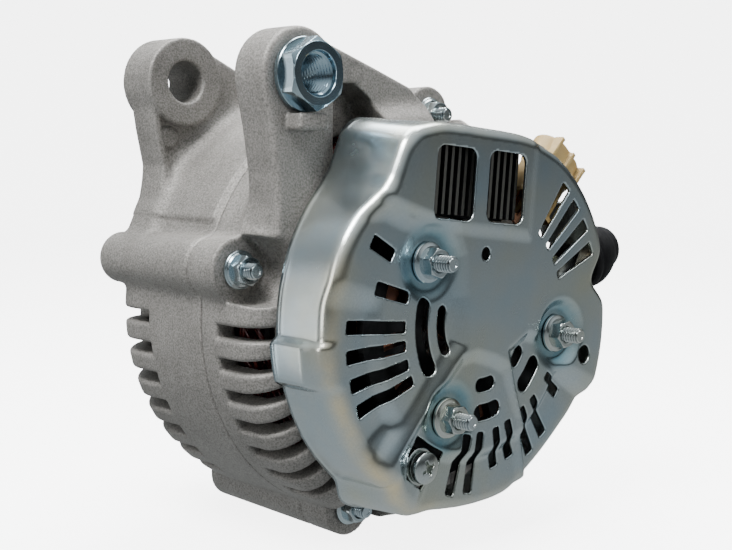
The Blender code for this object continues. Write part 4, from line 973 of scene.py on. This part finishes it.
def nut_points(centre, seat, away, flats, height, bore, flange, turn=0.0):
    """A chamfered hexagon nut with a flange on its seat, growing towards away (+1 or -1 along Y)."""
    corner = flats / 2 / math.cos(math.radians(30.0))
    chamfer = (corner - flats / 2) * 0.62
    steps = 72

    def ring(r, level):
        return circle(r, seat + away * level, centre, steps)

    def hexagon(level, largest_r):
        return hex_ring(flats, seat + away * level, largest_r, centre, steps, turn)

    rows = [ring(r, level) for r, level in (
        (bore, 0.0), (flange - 0.15, 0.0), (flange, 0.15), (flange, 0.75), (flange - 0.2, 1.0),
        (flange - 0.6, 1.12), (corner + 0.25, 1.55))]
    rows += [hexagon(level, corner - 0.06) for level in (1.6, 1.8, height - chamfer - 0.1)]
    rows += [hexagon(height - chamfer * cap, flats / 2 - 0.12 + (corner - flats / 2 + 0.06) * cap)
             for cap in (0.75, 0.5, 0.25, 0.0)]
    rows += [ring(bore + 0.55, height), ring(bore + 0.35, height - 0.12), ring(bore, height - 0.55)]
    rows.append(rows[0])
    return np.concatenate(rows), grid_faces(len(rows), steps)


def tooth_depth(y, pitch, steps, away=1):
    """A thread's depth at each point round a level, from 0 at the crest to 1 at the root."""
    a = np.arange(steps) * 2 * np.pi / steps
    phase = (y / pitch * away + a / (2 * np.pi)) % 1.0
    return np.clip(np.abs(phase - 0.5) * 2.5 - 0.12, 0, 1)


def thread_points(centre, radius, pitch, y0, y1, away, steps=36, depth=0.62):
    """A helical thread between two levels, with a chamfered and slightly hollow tip at y1."""
    rows = max(int(abs(y1 - y0) / (pitch / 6)), 2)
    root = radius - depth * pitch
    verts = []
    for i in range(rows + 1):
        y = y0 + (y1 - y0) * i / rows
        r = radius - (radius - root) * tooth_depth(y, pitch, steps, away)
        verts.append(circle(np.minimum(r, root + 0.05 + abs(y1 - y) * 0.9), y, centre, steps))
    verts.append(circle(0.55 * root, y1, centre, steps))
    verts.append(circle(0.5 * root, y1 - away * 0.18, centre, steps))
    last = (len(verts) - 1) * steps
    faces = grid_faces(len(verts), steps).tolist()
    faces += [list(range(steps))[::-1], list(range(last, last + steps))]
    return np.concatenate(verts), faces


def root_tone(verts, centre, y0, y1):
    """Dark in a thread's roots, over the threaded length."""
    r = np.hypot(verts[:, 0] - centre[0], verts[:, 2] - centre[1])
    inside = (verts[:, 1] > y0 + 0.3) & (verts[:, 1] < y1)
    return {"dark": np.clip((2.4 - r) / 0.4, 0, 1) * inside}


def make_fasteners():
    for i, c in enumerate(STUDS, 1):
        node = f"cover_stud_{i}"
        _, low, high = place(node)
        tip, foot = low[1], high[1]
        verts, faces = join_parts([
            thread_points(c, STUD_THREAD_R, 1.0, 6.2, tip, -1),
            turned([(0.4, foot), (2.2, foot), (STUD_SHANK_R, foot - 0.4), (STUD_SHANK_R, 6.0), (2.2, 5.4),
                    (0.4, 5.4)], 36, c)])
        stand_in(f"stud_{i}_thread", verts, faces, node, root_tone(verts, c, tip, 6.0), sharp_deg=40,
                 look=THREAD_LOOK)
        make_nut(f"cover_nut_{i}", c, 6.1, (12.0, 40.0, 27.0)[i - 1])
    for i, c in enumerate(BOLTS, 1):
        node = f"through_bolt_{i}"
        _, low, high = place(node)
        tip, head = low[1], high[1]
        verts, faces = join_parts([
            thread_points(c, STUD_THREAD_R, 1.0, 47.0, tip, -1),
            turned([(0.4, 46.0), (2.2, 46.0), (STUD_SHANK_R, 46.6), (STUD_SHANK_R, head - 3.6),
                    (0.4, head - 3.6)], 36, c),
            nut_points(c, head - 4.0, 1, STUD_FLATS, 4.0, 1.2, 5.4, 20.0 * i),
            turned([(0.2, head - 0.5), (1.9, head - 0.5), (1.9, head - 2.5), (0.2, head - 2.5)], 36, c)])
        stand_in(f"through_bolt_{i}_body", verts, faces, node, root_tone(verts, c, tip, 46.0), sharp_deg=30,
                 look=THREAD_LOOK)
        make_nut(f"through_bolt_nut_{i}", c, 5.8, (10.0, 33.0, 5.0, 22.0)[i - 1])
    make_screw()
    make_sleeve_nut()


def make_nut(node, centre, flange, turn):
    _, low, high = place(node)
    nut = nut_points(centre, high[1], -1, STUD_FLATS, high[1] - low[1], NUT_BORE_R, flange, turn)
    stand_in(node + "_body", *nut, node, sharp_deg=24)


def make_screw():
    """A pan-head screw with a cross recess, cut from a distance function, and its washer."""
    _, low, high = place("rectifier_screw")
    radius = (high[0] - low[0]) / 2
    cx, cz = SCREW

    def distance(p):
        x, y, z = p[0] - cx, p[1], p[2] - cz
        turn = math.radians(24.0)
        u, v = x * math.cos(turn) + z * math.sin(turn), -x * math.sin(turn) + z * math.cos(turn)
        head = cylinder(p, radius, low[1], 2.4, SCREW, 0.35)
        sphere = np.sqrt(x * x + z * z + (y - low[1] - 11.0) ** 2) - 11.0
        head = smax(head, sphere, 0.4)
        shank = cylinder(p, 2.4, 1.0, high[1], SCREW, 0.2)
        depth = (y - low[1]) / 2.6
        reach = 2.75 - 1.3 * depth
        cross = np.minimum(np.maximum(np.abs(u) - 0.52 + 0.12 * depth, np.abs(v) - reach),
                           np.maximum(np.abs(v) - 0.52 + 0.12 * depth, np.abs(u) - reach))
        cross = np.minimum(cross, np.hypot(u, v) - 1.35 + 0.5 * depth)
        cross = np.maximum(cross, y - low[1] - 2.2)
        return smin(smax(head, -cross, 0.18), shank, 0.3)

    verts, faces = mesh_distance(distance, low - 0.6, high + 0.6, FINE_VOXEL, 1)
    stand_in("rectifier_screw_body", verts, faces, "rectifier_screw", turn_out=False)
    _, low, high = place("screw_washer")
    outer = (high[0] - low[0]) / 2
    stand_in("screw_washer_body", *turned(
        [(2.7, high[1] - 0.1), (2.8, low[1] + 0.1), (2.9, low[1]), (outer - 0.15, low[1] + 0.05),
         (outer, low[1] + 0.2), (outer, high[1] - 0.15), (outer - 0.2, high[1])], 72, SCREW),
        "screw_washer", sharp_deg=35)


def make_sleeve_nut():
    """The sleeve nut: chamfered hexagon with a round washer face, flange, tube and threaded bore."""
    _, low, high = place("mount_sleeve_nut")
    front, back = low[1], high[1]
    half, corner = SLEEVE_FLATS / 2, SLEEVE_FLATS / 2 / math.cos(math.radians(30.0))
    steps = 144

    def ring(r, y):
        return circle(r, y, EAR, steps)

    def hexagon(y, largest_r):
        return hex_ring(SLEEVE_FLATS, y, largest_r, EAR, steps)

    rows = [ring(6.75, front), ring(7.4, front), ring(9.0, front), ring(9.12, front + 0.08)]
    rows += [hexagon(front + 0.14 + 0.9 * cap, half - 0.15 + (corner - half + 0.1) * cap)
             for cap in (0.0, 0.2, 0.4, 0.6, 0.8, 1.0)]
    rows += [hexagon(25.2, corner - 0.05), hexagon(25.45, corner - 0.05)]
    rows += [ring(r, y) for r, y in (
        (10.6, 25.55), (10.75, 25.75), (10.75, 27.05), (10.55, 27.25), (8.2, 27.3), (8.0, 27.6),
        (8.0, back - 0.4), (7.7, back), (6.6, back))]
    y = back - 0.4
    while y > front + 1.7:
        rows.append(ring(5.55 + 0.62 * tooth_depth(y, 1.25, steps), y))
        y -= 0.21
    rows += [ring(r, front + y) for r, y in ((6.25, 1.4), (6.4, 0.6), (6.5, 0.25), (6.6, 0.08))]
    rows.append(rows[0])
    stand_in("sleeve_nut_body", np.concatenate(rows), grid_faces(len(rows), steps), "mount_sleeve_nut",
             body="sleeve", sharp_deg=28)


# ---------------------------------------------------------------- stator

def sweep(path, across, up, radius, sides):
    """Points of a round wire along a path, from two directions across it at each point."""
    a = np.arange(sides) * 2 * np.pi / sides
    return (path[:, None] + radius * (np.cos(a)[None, :, None] * across[:, None]
                                      + np.sin(a)[None, :, None] * up[:, None])).reshape(-1, 3)


def unit(vectors):
    """Vectors made one long."""
    return vectors / np.maximum(np.linalg.norm(vectors, axis=1), 1e-6)[:, None]


def wire_loop(points, radius, sides):
    """Points and faces of a round wire along a closed path in millimetres."""
    p = np.asarray(points, float)
    along = unit(np.roll(p, -1, 0) - np.roll(p, 1, 0))
    side = unit(np.cross(along, unit(p * [1.0, 0.0, 1.0])))
    verts = sweep(p, side, np.cross(side, along), radius, sides)
    return verts, grid_faces(len(p) + 1, sides) % len(verts)


def winding_paths():
    """Loops of wire: each coil spans three slots and bulges out of both ends of the core."""
    rng = np.random.default_rng(7)
    _, low, high = place("stator_winding")
    paths = []
    strands = 7
    clear_deg, slots = 27.0, 36
    for slot in range(slots):
        for strand in range(strands):
            r = 52.2 + 5.8 * ((strand + 0.5) / strands) + rng.uniform(-0.25, 0.25)
            a0 = slot * 10.0 + rng.uniform(-1.1, 1.1)
            a1 = a0 + 30.0
            rise = 0.62 + 0.36 * rng.random()
            middle = (a0 + 15.0) % 360.0
            near_bolt = min(abs((middle - b + 180.0) % 360.0 - 180.0) for b in BOLT_DEG) < clear_deg
            t = np.linspace(0, np.pi, 9)
            angle = a0 + (a1 - a0) * (0.5 - 0.5 * np.cos(t))
            swing = np.sin(t) ** 0.7
            sway = rng.uniform(-0.5, 0.5)
            reach = 49.4 - 44.2 if near_bolt else 50.0 - low[1] - 1.0
            back = [(r + sway * np.sin(x), 50.0 - reach * rise * s, g)
                    for x, s, g in zip(t, swing, angle)]
            front = [(r + sway * np.sin(x), 81.0 + (high[1] - 82.0) * rise * s, g)
                     for x, s, g in zip(t[::-1], swing[::-1], angle[::-1])]
            paths.append([(*polar(q, g), y) for q, y, g in back + front])
    return [[(x, y, z) for x, z, y in path] for path in paths]


def make_winding():
    parts = [wire_loop(path, 0.55, 6) for path in winding_paths()]
    stand_in("stator_winding_wires", *join_parts(parts), "stator_winding", turn_out=False)
    rings = [turned([(53.4, y0 + 1.2), (54.4, y0), (56.2, y0), (57.2, y0 + 1.2), (57.2, y1 - 0.4),
                     (53.4, y1 - 0.4)], 120) for y0, y1 in ((44.2, 50.3), (80.3, 88.5))]
    fix_normals(add_piece("stator_winding_core", *join_parts(rings), ["stator_winding"]))


# ---------------------------------------------------------------- connector, boot

def radial_frame(deg, y_mid):
    """A function from (across, y, outward) to the frame's x, y, z at an angle."""
    ox, oz = math.cos(math.radians(deg)), math.sin(math.radians(deg))

    def to_world(across, y, out):
        return np.stack([ox * out - oz * across, y_mid + y + 0 * out, oz * out + ox * across], -1)

    return to_world


def make_connector():
    """The connector's shroud as a distance function, in its own across, y and outward axes."""
    to_world = radial_frame(CONNECTOR_DEG, CONNECTOR_Y)
    points = vertices_of("connector_shroud")
    ox, oz = math.cos(math.radians(CONNECTOR_DEG)), math.sin(math.radians(CONNECTOR_DEG))
    reach = points[:, 0] * ox + points[:, 2] * oz
    end = reach.max()

    def distance(q):
        across, y, out = q

        def track(half, radius, r0, r1, edge):
            flat = np.hypot(np.maximum(np.abs(across) - (half - radius), 0), y) - radius
            return crossed(flat, between(out, r0, r1), edge)

        body = track(9.4, 6.4, 46.0, end, 0.6)
        for at in (-7.4, 0.0, 7.4):
            rib = np.maximum(np.abs(across - at) - 0.75, np.abs(out - end + 4.7) - 4.5)
            rib = np.maximum(rib, np.abs(y + 6.3) - 1.05 - 0.08 * (out - end + 9.0))
            body = smin(body, rib, 0.5)
        collar = track(9.9, 6.9, end - 9.2, end - 7.8, 0.4)
        body = smin(body, collar, 0.4)
        body = smax(body, -track(7.8, 4.8, 54.0, 80.0, 0.2), 0.35)
        foot = np.maximum(np.maximum(np.abs(across) - 8.6, np.abs(y) - 5.6), np.abs(out - 44.0) - 3.0)
        return smin(body, foot, 0.6)

    verts, faces = mesh_distance(distance, (-11.5, -9.0, reach.min() + 4.0), (11.5, 9.0, end + 1.0),
                                 0.4, 1)
    verts = to_world(verts[:, 0], verts[:, 1], verts[:, 2])
    stand_in("connector_shroud_moulding", verts, faces, "connector_shroud")


def make_boot():
    """The rubber boot: a soft bell over the terminal's nut, with two moulded rings."""
    profile = [(4.6, 62.4), (9.6, 62.4), (10.6, 62.7), (11.2, 63.4), (11.3, 64.4), (11.1, 65.2), (10.7, 65.8),
               (10.7, 66.6), (11.1, 67.2), (11.2, 68.4), (11.0, 70.0), (10.5, 71.6), (9.8, 73.4), (8.9, 75.0),
               (8.2, 76.2), (7.9, 77.2), (7.7, 78.4), (7.2, 79.5), (6.4, 80.2), (5.2, 80.55), (3.6, 80.7),
               (1.6, 80.7), (0.05, 80.6)]
    inside = [(0.05, 78.6), (3.6, 78.4), (5.0, 76.2), (6.2, 73.4), (8.0, 71.2), (8.4, 66.0), (6.2, 65.0),
              (4.6, 64.6)]
    rows = smooth_profile(profile) + inside
    steps = 96
    a = np.arange(steps) * 2 * np.pi / steps
    rows.append(rows[0])
    to_world = radial_frame(TERMINAL_DEG, TERMINAL_Y)
    verts = []
    for r, out in rows:
        wave = 1.0 - 0.012 * (1.0 + np.sin(3 * a + 0.8)) * (out > 64)
        verts.append(to_world(r * wave * np.cos(a), r * wave * np.sin(a), np.full(steps, float(out))))
    stand_in("terminal_boot_rubber", np.concatenate(verts), grid_faces(len(rows), steps), "b_terminal_boot",
             sharp_deg=60)


def smooth_profile(points, per=4):
    """A Catmull-Rom curve through the points."""
    p = np.array([points[0], *points, points[-1]], float)
    out = []
    for i in range(1, len(p) - 2):
        for t in np.arange(per) / per:
            a, b, c, d = p[i - 1:i + 3]
            out.append(tuple(0.5 * (2 * b + (c - a) * t + (2 * a - 5 * b + 4 * c - d) * t * t
                                    + (3 * b - a - 3 * c + d) * t ** 3)))
    return out + [tuple(p[-1])]


# ---------------------------------------------------------------- pulley and rotor

def make_pulley():
    """The turned pulley with its grooves, and its flanged nut."""
    _, low, high = place("pulley")
    y0, y1, r = low[1], high[1], (high[0] - low[0]) / 2
    pitch, first = 3.56, (y0 + y1) / 2 - 2 * 3.56
    rim = [(r - 1.6, y0 + 0.3), (r - 0.3, y0 + 0.3), (r, y0 + 0.7), (r, first - 1.9), (r - 0.5, first - 1.7)]
    for i in range(5):
        mid = first + i * pitch
        rim += [(r - 0.75, mid - 1.35), (r - 3.3, mid - 0.35), (r - 3.45, mid), (r - 3.3, mid + 0.35),
                (r - 0.75, mid + 1.35), (r - 0.55, mid + 1.78)]
    rim += [(r, y1 - 1.2), (r, y1 - 0.5), (r - 0.3, y1), (r - 1.7, y1), (r - 2.2, y1 - 0.4)]
    points = vertices_of("pulley")
    radii = np.hypot(points[:, 0], points[:, 2])
    bore = radii.min()
    front_web = points[radii < 12.0][:, 1].max()
    body = rim + [(r - 5.0, y1 - 1.0), (r - 6.0, y1 - 3.2), (r - 7.5, front_web - 1.6),
                  (15.5, front_web - 0.9), (13.5, front_web), (bore + 0.4, front_web),
                  (bore, front_web - 0.4), (bore, y0 + 0.4), (bore + 0.4, y0), (14.0, y0),
                  (14.6, y0 + 0.6), (r - 6.5, y0 + 1.0)]
    stand_in("pulley_turned", *turned(body, 160), "pulley", body="rotor", sharp_deg=24)
    _, low, high = place("pulley_nut")
    nut = nut_points((0.0, 0.0), low[1], 1, 22.0, high[1] - low[1], 7.2, 13.6)
    stand_in("pulley_nut_body", *nut, "pulley_nut", body="rotor", sharp_deg=24)


def make_shaft():
    """The thread at the shaft's pulley end, which shows beyond the pulley nut."""
    tip, nut_end = place("rotor_shaft")[2][1], place("pulley_nut")[2][1]
    thread = thread_points((0.0, 0.0), 7.0, 1.5, nut_end - 3.0, tip, 1, 72, 0.5)
    fix_normals(add_piece("shaft_thread", *thread, ["rotor_shaft"], body="rotor", sharp_deg=40))


def make_springs():
    """A wound spring above each brush, its ends ground flat."""
    for side in ("outer", "inner"):
        node = f"brush_spring_{side}"
        middle, low, high = place(node)
        wire, turns = 0.28, 8.0
        radius = (high[0] - low[0]) / 2 - wire
        t = np.linspace(0, 1, 200)
        rise = np.interp(t, [0, 0.12, 0.88, 1], [0, 0.08, 0.92, 1])
        z = low[2] + wire + (high[2] - low[2] - 2 * wire) * rise
        a = t * turns * 2 * np.pi
        path = np.stack([middle[0] + radius * np.cos(a), middle[1] + radius * np.sin(a), z], 1)
        rows, sides = len(path), 8
        along = np.gradient(path, axis=0)
        along /= np.linalg.norm(along, axis=1)[:, None]
        outward = np.stack([np.cos(a), np.sin(a), np.zeros(rows)], 1)
        verts = sweep(path, outward, np.cross(along, outward), wire, sides)
        faces = grid_faces(rows, sides).tolist()
        faces += [list(range(sides)), list(range((rows - 1) * sides, rows * sides))]
        piece = stand_in(node + "_wire", verts, faces, node)
        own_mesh(piece)


def dress_nodes():
    """The CAD nodes that are still shown take a small bevel, smooth shading and their material."""
    for name, obj in frame["nodes"].items():
        slot = NODE_SLOT[name]
        obj.data.materials.clear()
        obj.data.materials.append(LOOKS[slot])
        if obj.hide_render:
            continue
        obj.data.shade_smooth()
        bevel = obj.modifiers.new("edge", "BEVEL")
        bevel.width = BEVELS.get(name, 0.2) * MM
        bevel.segments = 2
        bevel.limit_method = "ANGLE"
        bevel.angle_limit = math.radians(32.0)
        bevel.harden_normals = True


# ---------------------------------------------------------------- stage

def aim(obj, position, direction):
    """Put an object at a place in millimetres, looking along a direction."""
    obj.location = Vector(position) * MM
    obj.rotation_mode = "QUATERNION"
    obj.rotation_quaternion = Vector(direction).to_track_quat("-Z", "Y")


def area_light(name, position, target, size, power):
    data = bpy.data.lights.new(name, "AREA")
    data.shape, data.size, data.size_y = "RECTANGLE", size[0] * MM, size[1] * MM
    data.energy = power
    obj = bpy.data.objects.new(name, data)
    bpy.context.scene.collection.objects.link(obj)
    aim(obj, position, Vector(target) - Vector(position))
    return obj


def make_floor():
    """A pale floor that turns up into a backdrop on every side, lit from within."""
    paper = Nodes("studio_paper", Roughness=0.6, Emission_Color=(1.0, 1.0, 1.0, 1.0), Emission_Strength=5.0)
    pale = (0.93, 0.93, 0.93)
    paper.colour(paper.ramp(paper.noise(3.0, 2.0), [(0.3, pale), (0.7, tuple(c * 0.985 for c in pale))]))
    paper.bump((paper.noise(60.0, 2.0), 0.02, 0.2))
    floor_z = cad_box[0].z / MM - 0.2
    steps, wide, bend, wall = 96, 1500.0, 600.0, 3000.0
    rows = [(0.0, 0.0), (wide, 0.0)]
    rows += [(wide + bend * math.sin(t), bend - bend * math.cos(t))
             for t in np.linspace(0, math.pi / 2, 13)[1:]] + [(wide + bend, wall)]
    a = np.arange(steps) * 2 * np.pi / steps
    verts = [np.stack([run * np.cos(a), run * np.sin(a) + 60.0, np.full(steps, floor_z + rise)], 1) * MM
             for run, rise in rows]
    mesh = bpy.data.meshes.new("floor")
    mesh.from_pydata(np.concatenate(verts).tolist(), [], grid_faces(len(rows), steps).tolist())
    mesh.materials.append(paper.material)
    mesh.shade_smooth()
    floor = bpy.data.objects.new("floor", mesh)
    bpy.context.scene.collection.objects.link(floor)
    floor.visible_glossy = floor.visible_diffuse = False


def make_world():
    """Soft surroundings for the metal to reflect: bright above and below, darker at eye level."""
    glow = [(0.0, 0.66), (0.22, 0.60), (0.38, 0.46), (0.46, 0.38), (0.53, 0.06), (0.6, 0.07), (0.7, 0.5),
            (0.88, 1.0)]
    world = bpy.data.worlds.new("studio")
    world.use_nodes = True
    tree = world.node_tree
    shade = tree.nodes["Background"]
    where, split, rise, ramp = (tree.nodes.new("ShaderNode" + kind) for kind in
                                ("TexCoord", "SeparateXYZ", "MapRange", "ValToRGB"))
    elements = ramp.color_ramp.elements
    while len(elements) < len(glow):
        elements.new(0.5)
    for element, (at, grey) in zip(elements, glow):
        element.position = at
        element.color = (0.95 * grey, grey, 1.02 * grey, 1.0)
    rise.inputs["From Min"].default_value = -1.0
    for a, b in ((where.outputs["Generated"], split.inputs["Vector"]),
                 (split.outputs["Z"], rise.inputs["Value"]),
                 (rise.outputs["Result"], ramp.inputs["Fac"]),
                 (ramp.outputs["Color"], shade.inputs["Color"])):
        tree.links.new(a, b)
    shade.inputs["Strength"].default_value = 0.8
    bpy.context.scene.world = world


def make_stage():
    make_floor()
    area_light("key", (-420.0, -60.0, 640.0), (0.0, 40.0, 10.0), (300.0, 300.0), 8.5)
    area_light("top", (160.0, 160.0, 640.0), (0.0, 40.0, 0.0), (520.0, 420.0), 8.0)
    front = area_light("front", (200.0, -640.0, 60.0), (0.0, 30.0, 0.0), (260.0, 420.0), 2.2)
    front.visible_glossy = False
    area_light("left", (-640.0, 60.0, 120.0), (0.0, 50.0, 0.0), (200.0, 420.0), 1.0)
    card = area_light("skirt_card", (-500.0, 470.0, -20.0), (0.0, 20.0, 0.0), (120.0, 520.0), 0.4)
    card.visible_diffuse = False
    make_world()


def make_camera():
    data = bpy.data.cameras.new("camera")
    data.sensor_width = 36.0
    data.lens = 63.443
    data.clip_start, data.clip_end = 0.01, 20.0
    camera = bpy.data.objects.new("camera", data)
    bpy.context.scene.collection.objects.link(camera)
    turn, rise = math.radians(43.0), math.radians(5.6)
    back = Vector((-math.sin(turn) * math.cos(rise), -math.cos(turn) * math.cos(rise), math.sin(rise)))
    aim(camera, (-290.5, -257.9, 51.9), -back)
    bpy.context.scene.camera = camera


make_castings()
make_cover()
make_fasteners()
make_winding()
make_connector()
make_boot()
make_pulley()
make_shaft()
make_springs()
dress_nodes()
make_stage()
make_camera()
